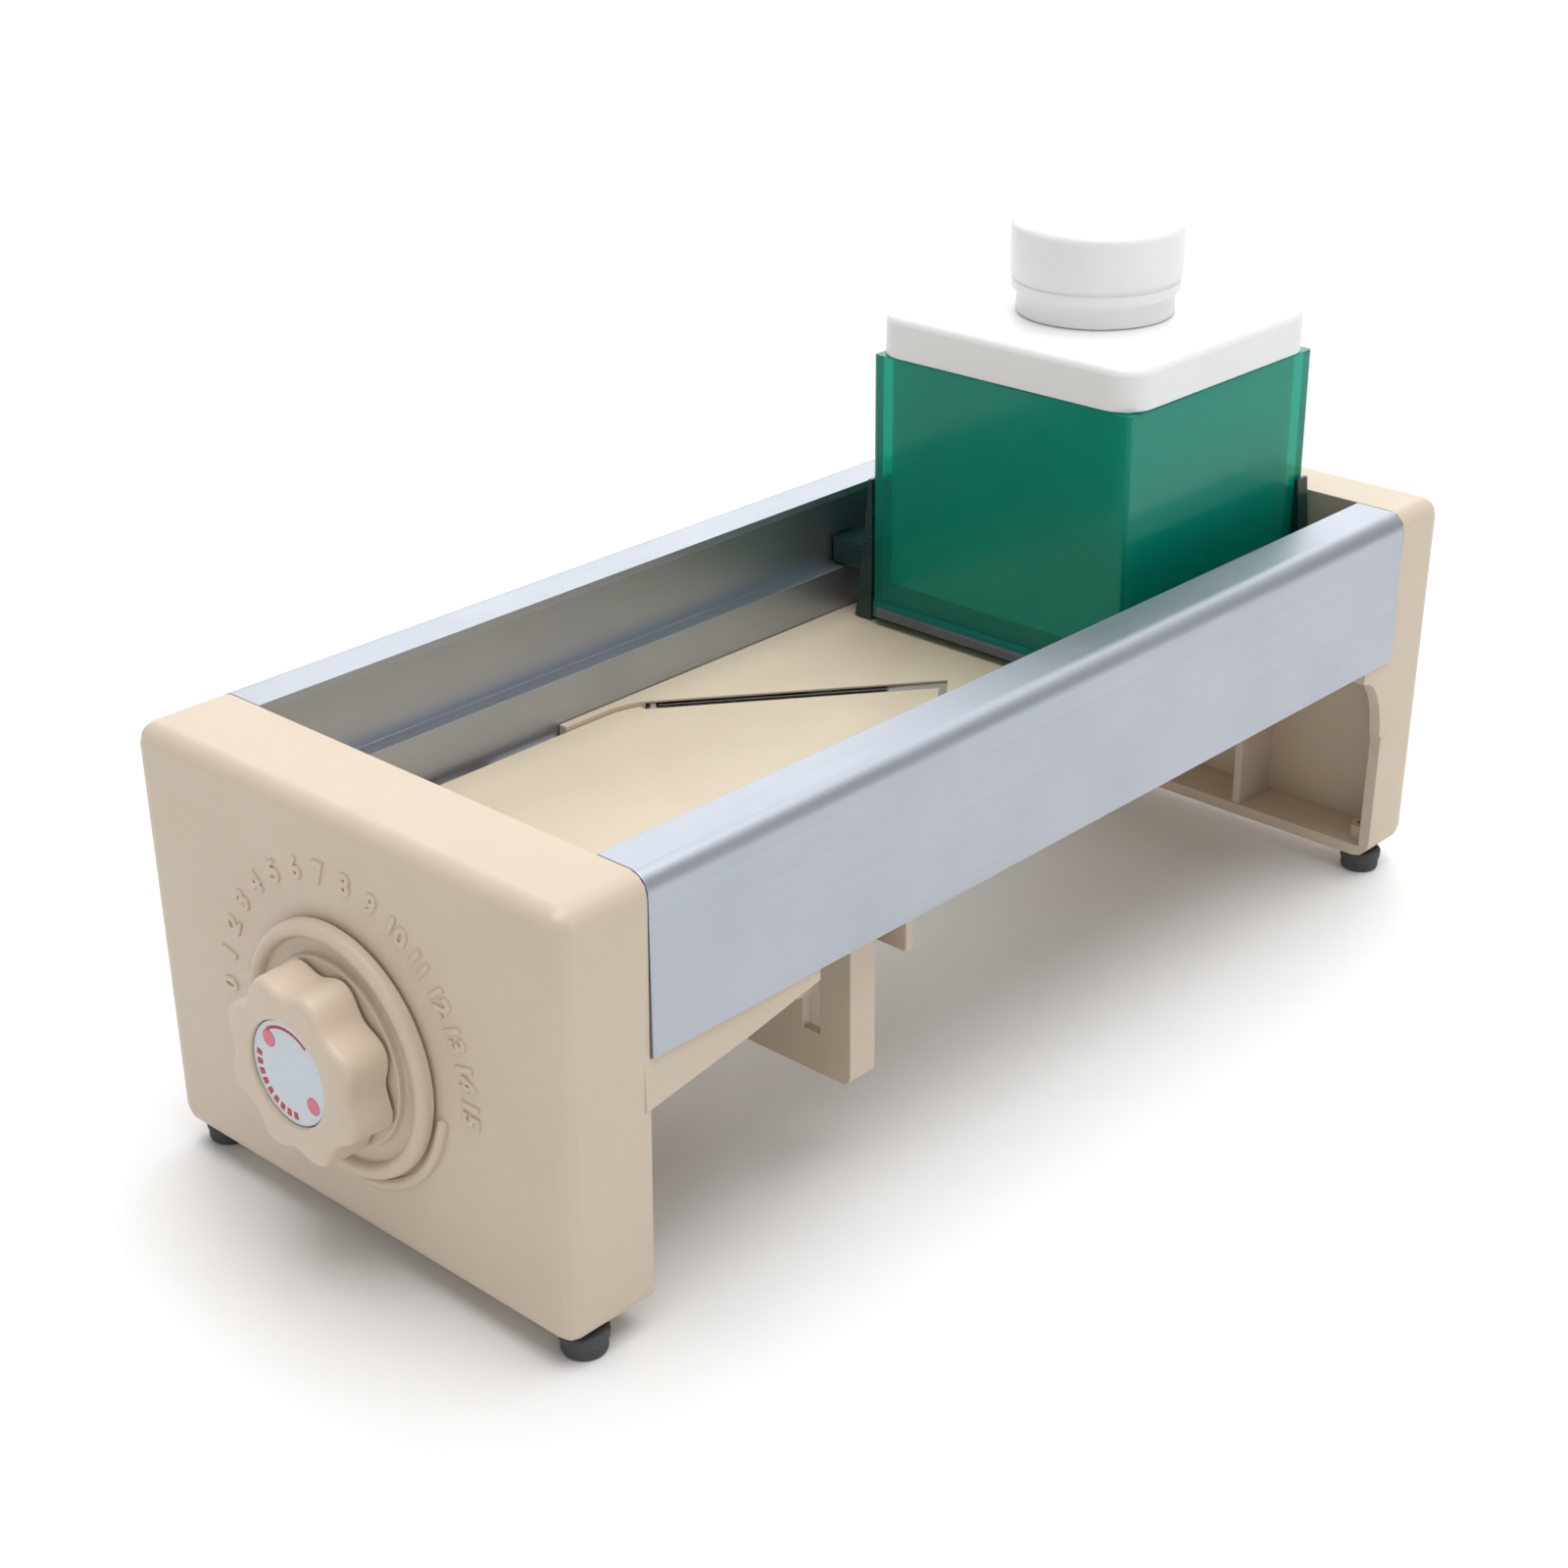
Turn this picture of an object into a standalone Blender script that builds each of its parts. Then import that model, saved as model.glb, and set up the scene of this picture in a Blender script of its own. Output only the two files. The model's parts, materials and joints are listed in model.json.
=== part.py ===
"""Mandoline slicer: two moulded end caps joined by aluminium rails, a fixed rear
deck with V blades, a front table that the dial and its cams raise and lower, and a
food box with a pusher that slides along the rails.  Metres, +Z up, the dial faces -Y.
The origin is on the ground, under the middle of the object."""
import math

import bmesh
import bpy
from mathutils import Matrix, Vector

# ---- driving dimensions -------------------------------------------------------
BODY_LENGTH = 0.400          # outer face of one end cap to the other
DIAL_REACH = 0.020           # how far the dial knob stands out of the front cap
BODY_WIDTH = 0.172           # at the top of the caps
CAP_DRAFT = 0.0025           # each side leans in by this much from top to bottom
CAP_HEIGHT = 0.127
FRONT_CAP_DEPTH = 0.030
REAR_CAP_DEPTH = 0.024
CAP_WALL = 0.004
CAP_ROUNDING = 0.006
FOOT_HEIGHT = 0.0075
FOOT_RADIUS = 0.007
FOOT_INSET_X = 0.010         # from the cap's side to the foot's middle
FOOT_INSET_Y = 0.0115        # from the outer face to the foot's middle

RAIL_HEIGHT = 0.0515
RAIL_WALL = 0.0025
RAIL_TOP_WIDTH = 0.018
RAIL_CHANNEL_DEPTH = 0.0055  # how far the channel goes in behind the top lip
RAIL_STEP_DROP = 0.0273      # from the rail's top to the step the box rides on
RAIL_STEP_INSET = 0.0187     # from the rail's outer face to the step's inner face
RAIL_LEDGE = 0.0025          # inward ledge that carries the deck

DECK_DROP = 0.042            # from the cap tops down to the cutting deck
DECK_THICKNESS = 0.004
TABLE_THICKNESS = 0.003
TABLE_CLEARANCE = 0.0013     # between the table and the rail ledges beside it
TABLE_RIB_DEPTH = 0.004
TABLE_RIB_X = 0.034
ARM_START = 0.140            # front tip of the deck's side arms, from the front face
NOTCH_START = 0.157          # where the seam leaves the straight sides
NOTCH_OUTER = 0.169          # outer end of a blade edge, from the front face
NOTCH_APEX = 0.2474          # inner end of the blade edges, from the front face
NOTCH_INSET = 0.0023         # blade edge's outer end, in from the table's side
THROAT = 0.0026              # slot that the slices drop through
SEAM = 0.0004

SETTING_SPAN = 0.015         # table travel from setting 0 to 15
SETTING_NOW = 1.5            # setting that the object is posed at
DIAL_SWEEP = math.pi         # dial angle from setting 0 to 15
DIAL_BELOW_TABLE = 0.0086    # from the lowered table's underside to the dial's axis
PAD_THICKNESS = 0.0015       # wear pad between the table and a cam
CAM_THICKNESS = 0.006
CAM_HUB_RADIUS = 0.0055
FRONT_CAM_PLACE = 0.040      # front face of the first cam, from the front face
REAR_CAM_PLACE = 0.1000
SHAFT_RADIUS = 0.003
BUSH_RADIUS = 0.006
DISC_RADIUS = 0.0368
KNOB_RADIUS = 0.0270
KNOB_LOBES = 8
LOBE_TURN = math.radians(23)   # from +X round to the first lobe
LOBE_HEIGHT = 0.0017
LABEL_RADIUS = 0.015

BRIDGE_FRONT = 0.1153        # front face of the cross bridge
BRIDGE_DEPTH = 0.0104
BRIDGE_INSET = 0.010         # bridge's ends, in from the rails' outer faces
BRIDGE_WALL = 0.003
BRIDGE_BOTTOM = 0.1029       # below the cap tops
BRIDGE_ARM_REACH = 0.0264    # how far back the bridge's side arms run
BRIDGE_RIB_X = 0.030
LUG_LENGTH = 0.003
LUG_DROP = 0.0175            # below the rails
LUG_WEB_DROP = 0.0095
SLOT_WIDTH = 0.0064
SLOT_INSET = 0.0022          # slot's middle, in from the table's side
GUIDE_PIN_RADIUS = 0.0027
GUIDE_PIN_DROP = 0.028       # below the table top
PIN_COLLAR_RADIUS = 0.0045
GUIDE_WALL = 0.002           # wall beside each guide slot, clear of the pin's collar

BOX_PARKING_GAP = 0.0084     # between the food box and the rear cap
BOX_LENGTH = 0.0986
BOX_SIDE_GAP = 0.0159        # between the box and a rail's step
BOX_WALL = 0.003
BOX_RISE = 0.0509            # rim above the cap tops
BOX_GAP = 0.0026             # between the box and the deck
RUNNER_DROP = 0.012          # from the cap tops down to the runners' top edges
RUNNER_POST_RISE = 0.008     # each runner has one post, which stands above the cap tops
RUNNER_POST_LENGTH = 0.006
RUNNER_SPREAD = 0.0076       # how far a runner's foot stands out from the box
TAB_GAP = 0.0011             # between a runner's tab and the rail's channel
PUSHER_RISE = 0.0648         # pusher's top above the cap tops
PUSHER_LIFT_ROOM = 0.012     # from the box's lower end up to the plunger's
PUSHER_WALL = 0.003
LID_CORNER = 0.010
PLUNGER_CORNER = 0.005
PUSHER_KNOB_RADIUS = 0.0277
PUSHER_KNOB_TOP = 0.0952     # above the cap tops
PUSHER_KNOB_SIDE = 0.0165
PRONG_LENGTH = 0.008

GAP = 0.0003                 # between pieces that touch
FIT = 0.0006                 # between pieces that slide
SCREW_RADIUS = 0.0015
SCREW_HEAD_RADIUS = 0.003
SCREW_HEAD_HEIGHT = 0.002
GUSSET_TIP = 0.0933          # end of the front cap's flanges, from the front face
GUSSET_BEND = 0.065          # where a flange web's lower edge bends
GUSSET_DROPS = (0.0153, 0.0095, 0.004)
SCALLOP_WIDTH = 0.015        # hollow corner between the rear cap and its flanges
SCALLOP_HEIGHT = 0.0234
SCALLOP_TOP_DROP = 0.0045    # below the rails
REAR_RIB_X = 0.028
BOSS_WALL = 0.002
PRONG_INSET_X = 0.0145       # outer prongs and the screws, in from the prong plate's side
PRONG_INSET_Y = 0.0124

# ---- places that follow from them -----------------------------------------------
FRONT = DIAL_REACH - (BODY_LENGTH + DIAL_REACH) / 2
BACK = FRONT + BODY_LENGTH
HALF = BODY_WIDTH / 2
CAP_TOP = FOOT_HEIGHT + CAP_HEIGHT
RAIL_BOTTOM = CAP_TOP - RAIL_HEIGHT
DECK_TOP = CAP_TOP - DECK_DROP
DECK_BOTTOM = DECK_TOP - DECK_THICKNESS
TABLE_TOP = DECK_TOP - SETTING_NOW / 15 * SETTING_SPAN
TABLE_BOTTOM = TABLE_TOP - TABLE_THICKNESS
TABLE_LOWEST_DROP = DECK_DROP + SETTING_SPAN + TABLE_THICKNESS
DIAL_Z = CAP_TOP - TABLE_LOWEST_DROP - DIAL_BELOW_TABLE
CAM_RATE = SETTING_SPAN / DIAL_SWEEP
STEP_X = HALF - RAIL_STEP_INSET
CHANNEL_X = HALF - RAIL_TOP_WIDTH + RAIL_CHANNEL_DEPTH
LEDGE_X = STEP_X - RAIL_LEDGE
TABLE_HALF_WIDTH = LEDGE_X - TABLE_CLEARANCE
NOTCH_OUTER_X = TABLE_HALF_WIDTH - NOTCH_INSET
SLOT_X = TABLE_HALF_WIDTH - SLOT_INSET
BRIDGE_HALF_WIDTH = HALF - BRIDGE_INSET
BRIDGE_MIDDLE_DROP = TABLE_LOWEST_DROP + TABLE_RIB_DEPTH + 0.0005
SLOT_BOTTOM = DECK_DROP + SETTING_SPAN + GUIDE_PIN_DROP + GUIDE_PIN_RADIUS + 0.0023
BOX_HALF_WIDTH = STEP_X - BOX_SIDE_GAP
RUNNER_FOOT_X = BOX_HALF_WIDTH + RUNNER_SPREAD
TAB_REACH = CHANNEL_X - TAB_GAP
RAIL_FRONT = FRONT + FRONT_CAP_DEPTH + GAP
RAIL_BACK = BACK - REAR_CAP_DEPTH - GAP
BOX_Y = BACK - REAR_CAP_DEPTH - BOX_PARKING_GAP - BOX_LENGTH
BOX_MIDDLE = BOX_Y + BOX_LENGTH / 2
BOX_BOTTOM = DECK_TOP + BOX_GAP
BOX_TOP = CAP_TOP + BOX_RISE
FLANGE_THICKNESS = 0.003
FLANGE_TOP = RAIL_BOTTOM - GAP
FLANGE_BOTTOM = FLANGE_TOP - FLANGE_THICKNESS
RAIL_SCREW_X = HALF - 0.011
BRIDGE_SCREW_X = HALF - 0.0135
FRONT_SCREW_Y = FRONT + FRONT_CAP_DEPTH + 0.030
REAR_SCREW_Y = BACK - REAR_CAP_DEPTH - 0.008
BRIDGE_SCREW_Y = FRONT + BRIDGE_FRONT + (BRIDGE_DEPTH + BRIDGE_ARM_REACH - LUG_LENGTH) / 2
FOOT_FRONT_Y = FRONT + FOOT_INSET_Y
FOOT_REAR_Y = BACK - FOOT_INSET_Y - 0.0045
SCREW_BOSS_TOP = FOOT_HEIGHT + 0.009
FOOT_X = HALF - FOOT_INSET_X

BEIGE = ((0.66, 0.50, 0.36), 0.45, 0.0)
ALUMINIUM = ((0.62, 0.66, 0.72), 0.32, 0.9)
STEEL = ((0.55, 0.56, 0.58), 0.25, 1.0)
EMERALD = ((0.01, 0.19, 0.12), 0.12, 0.0)
DARK_GREEN = ((0.01, 0.06, 0.05), 0.25, 0.0)
WHITE = ((0.84, 0.84, 0.82), 0.40, 0.0)
RUBBER = ((0.05, 0.055, 0.06), 0.80, 0.0)
LABEL = ((0.55, 0.62, 0.70), 0.35, 0.0)
BRONZE = ((0.50, 0.30, 0.12), 0.35, 1.0)


# ---- tools -------------------------------------------------------------------
def clear_scene():
    for old in list(bpy.data.objects):
        bpy.data.objects.remove(old, do_unlink=True)


def new_collection(name):
    collection = bpy.data.collections.new(name)
    bpy.context.scene.collection.children.link(collection)
    return collection


clear_scene()
PARTS = new_collection("mandoline_slicer")
CUTTERS = new_collection("cutters")


def add_object(name, mesh, finish=None):
    """Finished pieces carry their finish; a tool for a Boolean has none."""
    piece = bpy.data.objects.new(name, mesh)
    if finish is None:
        CUTTERS.objects.link(piece)
        piece.hide_render = True
        piece.display_type = "WIRE"
        return piece
    PARTS.objects.link(piece)
    colour, roughness, metallic = finish
    material = bpy.data.materials.new(name)
    material.use_nodes = True
    shader = material.node_tree.nodes["Principled BSDF"]
    shader.inputs["Base Color"].default_value = (*colour, 1.0)
    shader.inputs["Roughness"].default_value = roughness
    shader.inputs["Metallic"].default_value = metallic
    mesh.materials.append(material)
    return piece


def mesh_from(name, bm):
    bm.normal_update()
    bmesh.ops.recalc_face_normals(bm, faces=bm.faces)
    mesh = bpy.data.meshes.new(name)
    bm.to_mesh(mesh)
    bm.free()
    return mesh


def block(name, x, y, z, finish=None):
    """A box given by its range along each axis."""
    bm = bmesh.new()
    size = (x[1] - x[0], y[1] - y[0], z[1] - z[0])
    middle = ((x[0] + x[1]) / 2, (y[0] + y[1]) / 2, (z[0] + z[1]) / 2)
    place = Matrix.Translation(middle) @ Matrix.Diagonal((*size, 1.0))
    bmesh.ops.create_cube(bm, size=1.0, matrix=place)
    return add_object(name, mesh_from(name, bm), finish)


TURN_TO_Y = Matrix.Rotation(-math.pi / 2, 4, "X")
AXES = {"X": Matrix.Rotation(math.pi / 2, 4, "Y"), "Y": TURN_TO_Y, "Z": Matrix.Identity(4)}


def rod(name, axis, start, length, radius, finish=None, end_radius=None, segments=16):
    """A cylinder or cone from `start`, running `length` along +axis."""
    bm = bmesh.new()
    place = Matrix.Translation(start) @ AXES[axis] @ Matrix.Translation((0, 0, length / 2))
    end = radius if end_radius is None else end_radius
    bmesh.ops.create_cone(bm, cap_ends=True, segments=segments, radius1=radius,
                          radius2=end, depth=length, matrix=place)
    piece = add_object(name, mesh_from(name, bm), finish)
    smooth(piece)
    return piece


def smooth(piece, angle=35):
    piece.data.shade_smooth()
    piece.data.set_sharp_from_angle(angle=math.radians(angle))


def evaluated_mesh(piece):
    bpy.context.view_layer.update()
    ready = piece.evaluated_get(bpy.context.evaluated_depsgraph_get())
    return bpy.data.meshes.new_from_object(ready)


def outline(name, loops, thickness, place, finish=None):
    """A flat closed outline (and any holes), given thickness about its plane."""
    curve = bpy.data.curves.new(name, "CURVE")
    curve.dimensions = "2D"
    curve.fill_mode = "BOTH"
    curve.extrude = thickness / 2
    for points in loops:
        spline = curve.splines.new("POLY")
        spline.points.add(len(points) - 1)
        for target, (a, b) in zip(spline.points, points):
            target.co = (a, b, 0.0, 1.0)
        spline.use_cyclic_u = True
    flat = bpy.data.objects.new(name, curve)
    bpy.context.scene.collection.objects.link(flat)
    mesh = evaluated_mesh(flat)
    bpy.data.objects.remove(flat, do_unlink=True)
    bm = bmesh.new()
    bm.from_mesh(mesh)
    bmesh.ops.remove_doubles(bm, verts=bm.verts, dist=0.00001)
    bm.transform(place)
    return add_object(name, mesh_from(name, bm), finish)


def level(z0, z1):
    """Place for an outline in X and Y, from z0 to z1."""
    return Matrix.Translation((0, 0, (z0 + z1) / 2))


def across(y0, y1):
    """Place for an outline in X and Z, from y0 to y1."""
    return Matrix.Translation((0, (y0 + y1) / 2, 0)) @ Matrix.Rotation(math.pi / 2, 4, "X")


def sideways(x0, x1):
    """Place for an outline in Y and Z, from x0 to x1."""
    columns = Matrix(((0, 0, 1, (x0 + x1) / 2), (1, 0, 0, 0), (0, 1, 0, 0), (0, 0, 0, 1)))
    return columns


def turned(name, axis, origin, profile, finish=None, steps=40, closed=False):
    """A profile of (radius, height) points, outer side top to bottom, spun about
    an axis through `origin`."""
    mesh = bpy.data.meshes.new(name)
    last = len(profile) - 1
    edges = [(i, i + 1) for i in range(last)]
    if closed:
        edges.append((last, 0))
    mesh.from_pydata([(r, 0.0, h) for r, h in profile], edges, [])
    piece = add_object(name, mesh, finish)
    screw = piece.modifiers.new("turn", "SCREW")
    screw.steps = steps
    screw.render_steps = steps
    screw.use_merge_vertices = True
    screw.merge_threshold = 0.00001
    screw.use_normal_calculate = True
    solid = evaluated_mesh(piece)
    bm = bmesh.new()
    bm.from_mesh(solid)
    bmesh.ops.remove_doubles(bm, verts=bm.verts, dist=0.00001)
    bm.transform(Matrix.Translation(origin) @ AXES[axis])
    solid = mesh_from(name, bm)
    piece.modifiers.remove(screw)
    if finish is not None:
        solid.materials.append(mesh.materials[0])
    piece.data = solid
    smooth(piece)
    return piece


def boolean(piece, tool, operation):
    modifier = piece.modifiers.new(tool.name, "BOOLEAN")
    modifier.operation = operation
    modifier.solver = "EXACT"
    modifier.object = tool


def cut(piece, *tools):
    for tool in tools:
        boolean(piece, tool, "DIFFERENCE")


def join(piece, *tools):
    for tool in tools:
        boolean(piece, tool, "UNION")


def soften(piece, width, segments=2, angle=40):
    bevel = piece.modifiers.new("soft edges", "BEVEL")
    bevel.width = width
    bevel.segments = segments
    bevel.limit_method = "ANGLE"
    bevel.angle_limit = math.radians(angle)


def mirrored(piece, name, finish=None):
    """The same piece on the other side of the middle plane."""
    bm = bmesh.new()
    bm.from_mesh(evaluated_mesh(piece))
    bm.transform(Matrix.Diagonal((-1, 1, 1, 1)))
    copy = add_object(name, mesh_from(name, bm), finish)
    if finish is not None:
        smooth(copy)
    return copy


def arc(middle, radius, start, end, count):
    """Points on an arc, angles in degrees."""
    points = []
    for i in range(count + 1):
        angle = math.radians(start + (end - start) * i / count)
        points.append((middle[0] + radius * math.cos(angle), middle[1] + radius * math.sin(angle)))
    return points


def screw_shape(name, head_place, length, finish=STEEL, head_radius=SCREW_HEAD_RADIUS):
    """A pan-head screw driven upwards: `head_place` is under its head's middle."""
    h = SCREW_HEAD_HEIGHT
    profile = [(0, h + length), (SCREW_RADIUS, h + length), (SCREW_RADIUS, h),
               (head_radius, h), (head_radius, 0), (0, 0)]
    return turned(name, "Z", head_place, profile, finish, steps=12)


# ---- end caps -----------------------------------------------------------------
def side_at(z):
    """Half width of a cap at height z."""
    return HALF - CAP_DRAFT * (CAP_TOP - z) / CAP_HEIGHT


def drafted_block(name, inset, y, z, finish=None):
    """A block whose sides lean with the caps, `inset` inside them."""
    piece = block(name, (-HALF, HALF), y, z, finish)
    for corner in piece.data.vertices:
        corner.co.x = math.copysign(side_at(corner.co.z) - inset, corner.co.x)
    return piece


def rounded_cap(name, outer, inner):
    """A cap whose edges are rounded except around the face that meets the rails."""
    y = (min(outer, inner), max(outer, inner))
    piece = drafted_block(name, 0, y, (FOOT_HEIGHT, CAP_TOP), BEIGE)
    bm = bmesh.new()
    bm.from_mesh(piece.data)
    edges = [e for e in bm.edges if any(abs(v.co.y - inner) > GAP for v in e.verts)]
    bmesh.ops.bevel(bm, geom=edges, offset=CAP_ROUNDING, segments=3, profile=0.5,
                    affect="EDGES", material=-1)
    bm.to_mesh(piece.data)
    bm.free()
    smooth(piece)
    return piece


def hollow_cap(piece, outer, inner):
    """Room inside the cap, open towards the middle of the object below the deck."""
    way = math.copysign(1, inner - outer)
    room_y = sorted((outer + way * CAP_WALL, inner - way * CAP_WALL))
    mouth_y = sorted((inner - way * 2 * CAP_WALL, inner + way * CAP_WALL))
    floor = FOOT_HEIGHT + CAP_WALL
    room = drafted_block(piece.name + "_room", CAP_WALL, room_y, (floor, CAP_TOP - CAP_WALL))
    mouth = drafted_block(piece.name + "_mouth", CAP_WALL, mouth_y, (floor, DECK_TOP + FIT))
    cut(piece, room, mouth)


def foot_bosses(piece, y):
    for side in (-1, 1):
        boss = rod(f"{piece.name}_boss_{side}", "Z", (side * FOOT_X, y, FOOT_HEIGHT + CAP_WALL / 2),
                   SCREW_BOSS_TOP - FOOT_HEIGHT - CAP_WALL / 2, 0.004)
        join(piece, boss)
    for side in (-1, 1):
        bore = rod(f"{piece.name}_bore_{side}", "Z", (side * FOOT_X, y, 0), SCREW_BOSS_TOP + 0.01,
                   SCREW_RADIUS + GAP)
        cut(piece, bore)


def rail_flange(piece, side, y, screw_y, web_low):
    """A flange under a rail with a web flush with the cap's side; `web_low` gives the
    web's lower edge as (y, z) points from the cap outwards."""
    outer = side_at(FLANGE_TOP)
    flange_x = sorted((side * (STEP_X + 0.001), side * outer))
    flange = block(f"{piece.name}_flange_{side}", flange_x, sorted(y), (FLANGE_BOTTOM, FLANGE_TOP))
    web_points = [(y[0], FLANGE_TOP), *web_low, (y[1], FLANGE_TOP)]
    web = outline(f"{piece.name}_web_{side}", [web_points], CAP_WALL,
                  sideways(side * (outer - CAP_WALL), side * outer))
    hole = rod(f"{piece.name}_flange_hole_{side}", "Z",
               (side * RAIL_SCREW_X, screw_y, FLANGE_BOTTOM - 0.002), 0.008, SCREW_RADIUS + GAP)
    join(piece, flange, web)
    cut(piece, hole)


def front_cap():
    inner = FRONT + FRONT_CAP_DEPTH
    cap = rounded_cap("front_cap", FRONT, inner)
    hollow_cap(cap, FRONT, inner)
    start = inner - CAP_WALL / 2
    tip = FRONT + GUSSET_TIP
    edge_y = (start, FRONT + GUSSET_BEND, tip)
    low = [(y, RAIL_BOTTOM - drop) for y, drop in zip(edge_y, GUSSET_DROPS)]
    for side in (-1, 1):
        rail_flange(cap, side, (start, tip), FRONT_SCREW_Y, low)
    foot_bosses(cap, FOOT_FRONT_Y)
    bush_boss = rod("bush_boss", "Y", (0, FRONT + CAP_WALL / 2, DIAL_Z), 0.008, BUSH_RADIUS + BOSS_WALL)
    ball_boss = rod("ball_boss", "Y", ball_place(CAP_WALL / 2), 0.0105, 0.0045)
    ridge = outline("dial_ridge", [dial_ridge_points()], 0.0024, across(FRONT - 0.0012, FRONT + 0.0012))
    join(cap, bush_boss, ball_boss, ridge)
    bush_hole = rod("bush_hole", "Y", (0, FRONT - 0.002, DIAL_Z), 0.016, BUSH_RADIUS + GAP)
    ball_hole = rod("ball_hole", "Y", ball_place(-0.002), 0.0125, BALL_RADIUS + GAP)
    cut(cap, bush_hole, ball_hole)
    return cap


def dial_ridge_points():
    """A raised band on the cap face that follows the dial's lower right side."""
    middle = (0, DIAL_Z)
    inner, outer = DISC_RADIUS + 0.0012, DISC_RADIUS + 0.0044
    mean, half = (inner + outer) / 2, (outer - inner) / 2
    start, end = -14, -84
    points = arc(middle, outer, start, end, 16)
    tip = (mean * math.cos(math.radians(end)), DIAL_Z + mean * math.sin(math.radians(end)))
    points += arc(tip, half, end, end - 180, 5)[1:-1]
    points += arc(middle, inner, end, start, 16)
    tip = (mean * math.cos(math.radians(start)), DIAL_Z + mean * math.sin(math.radians(start)))
    points += arc(tip, half, start + 180, start, 5)[1:-1]
    return points


def rear_cap():
    inner = BACK - REAR_CAP_DEPTH
    cap = rounded_cap("rear_cap", BACK, inner)
    hollow_cap(cap, BACK, inner)
    wall_low = RAIL_BOTTOM - SCALLOP_TOP_DROP - SCALLOP_HEIGHT
    low_end = inner + CAP_WALL / 2
    low = [(low_end, wall_low)]
    low += [(inner - 0.001 - a, wall_low + b) for a, b in scallop_points()]
    for side in (-1, 1):
        rail_flange(cap, side, (low_end, inner - SCALLOP_WIDTH), REAR_SCREW_Y, low)
    for x in (-REAR_RIB_X, REAR_RIB_X):
        rib = block(f"rear_rib_{x:+.3f}", (x - 0.0015, x + 0.0015), (inner + 0.001, BACK - CAP_WALL / 2),
                    (FOOT_HEIGHT + CAP_WALL / 2, DECK_TOP - DECK_THICKNESS - 0.004))
        join(cap, rib)
    foot_bosses(cap, FOOT_REAR_Y)
    return cap


def scallop_points():
    """A hollow quarter round from the cap's wall out to the flange."""
    reach = SCALLOP_WIDTH - 0.001
    return [(reach - (reach - 0.001) * math.cos(math.radians(a)),
             SCALLOP_HEIGHT * math.sin(math.radians(a))) for a in range(0, 91, 15)]


# ---- feet and screws ------------------------------------------------------------
def feet():
    top = FOOT_HEIGHT - GAP
    recess, bore = SCREW_HEAD_RADIUS + 0.0008, SCREW_RADIUS + GAP
    profile = [(bore, top), (FOOT_RADIUS - 0.0008, top), (FOOT_RADIUS, top - 0.0008),
               (FOOT_RADIUS, 0.001), (FOOT_RADIUS - 0.001, 0), (recess, 0), (recess, 0.0035),
               (bore, 0.0035)]
    for end, y in (("front", FOOT_FRONT_Y), ("rear", FOOT_REAR_Y)):
        for hand, side in (("left", -1), ("right", 1)):
            place = (side * FOOT_X, y, 0)
            turned(f"foot_{end}_{hand}", "Z", place, profile, RUBBER, steps=16, closed=True)
            head = (side * FOOT_X, y, 0.0035 - GAP - SCREW_HEAD_HEIGHT)
            screw_shape(f"foot_screw_{end}_{hand}", head, 0.011)


def rail_screws():
    under = FLANGE_BOTTOM - GAP - SCREW_HEAD_HEIGHT
    for end, y in (("front", FRONT_SCREW_Y), ("rear", REAR_SCREW_Y)):
        for hand, side in (("left", -1), ("right", 1)):
            screw_shape(f"rail_screw_{end}_{hand}", (side * RAIL_SCREW_X, y, under), 0.009)
    for hand, side in (("left", -1), ("right", 1)):
        screw_shape(f"bridge_screw_{hand}", (side * BRIDGE_SCREW_X, BRIDGE_SCREW_Y, under), 0.009)


# ---- rails ----------------------------------------------------------------------
def rail_outline():
    """Section of the right rail in X and Z: a hollow bar with a channel and a ledge."""
    r = CAP_ROUNDING
    lip_x = HALF - RAIL_TOP_WIDTH
    outer = [(lip_x, CAP_TOP)]
    outer += arc((HALF - r, CAP_TOP - r), r, 90, 0, 6)
    outer += [(HALF, RAIL_BOTTOM), (LEDGE_X, RAIL_BOTTOM), (LEDGE_X, RAIL_BOTTOM + RAIL_WALL),
              (STEP_X, RAIL_BOTTOM + RAIL_WALL), (STEP_X, CAP_TOP - RAIL_STEP_DROP),
              (CHANNEL_X, CAP_TOP - RAIL_STEP_DROP), (CHANNEL_X, CAP_TOP - RAIL_WALL),
              (lip_x, CAP_TOP - RAIL_WALL)]
    wall = RAIL_WALL
    hollow_top = CAP_TOP - CAP_ROUNDING - wall / 2
    hollow = [(CHANNEL_X + wall, hollow_top), (HALF - wall, hollow_top),
              (HALF - wall, RAIL_BOTTOM + wall), (STEP_X + wall, RAIL_BOTTOM + wall),
              (STEP_X + wall, CAP_TOP - RAIL_STEP_DROP - wall),
              (CHANNEL_X + wall, CAP_TOP - RAIL_STEP_DROP - wall)]
    return [outer, hollow]


def rails():
    right = outline("rail_right", rail_outline(), RAIL_BACK - RAIL_FRONT,
                    across(RAIL_FRONT, RAIL_BACK), ALUMINIUM)
    for x, y in ((RAIL_SCREW_X, FRONT_SCREW_Y), (RAIL_SCREW_X, REAR_SCREW_Y),
                 (BRIDGE_SCREW_X, BRIDGE_SCREW_Y)):
        hole = rod(f"rail_hole_{y:.3f}", "Z", (x, y, RAIL_BOTTOM - 0.002), 0.008, SCREW_RADIUS + GAP)
        cut(right, hole)
    smooth(right)
    mirrored(right, "rail_left", ALUMINIUM)


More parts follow.
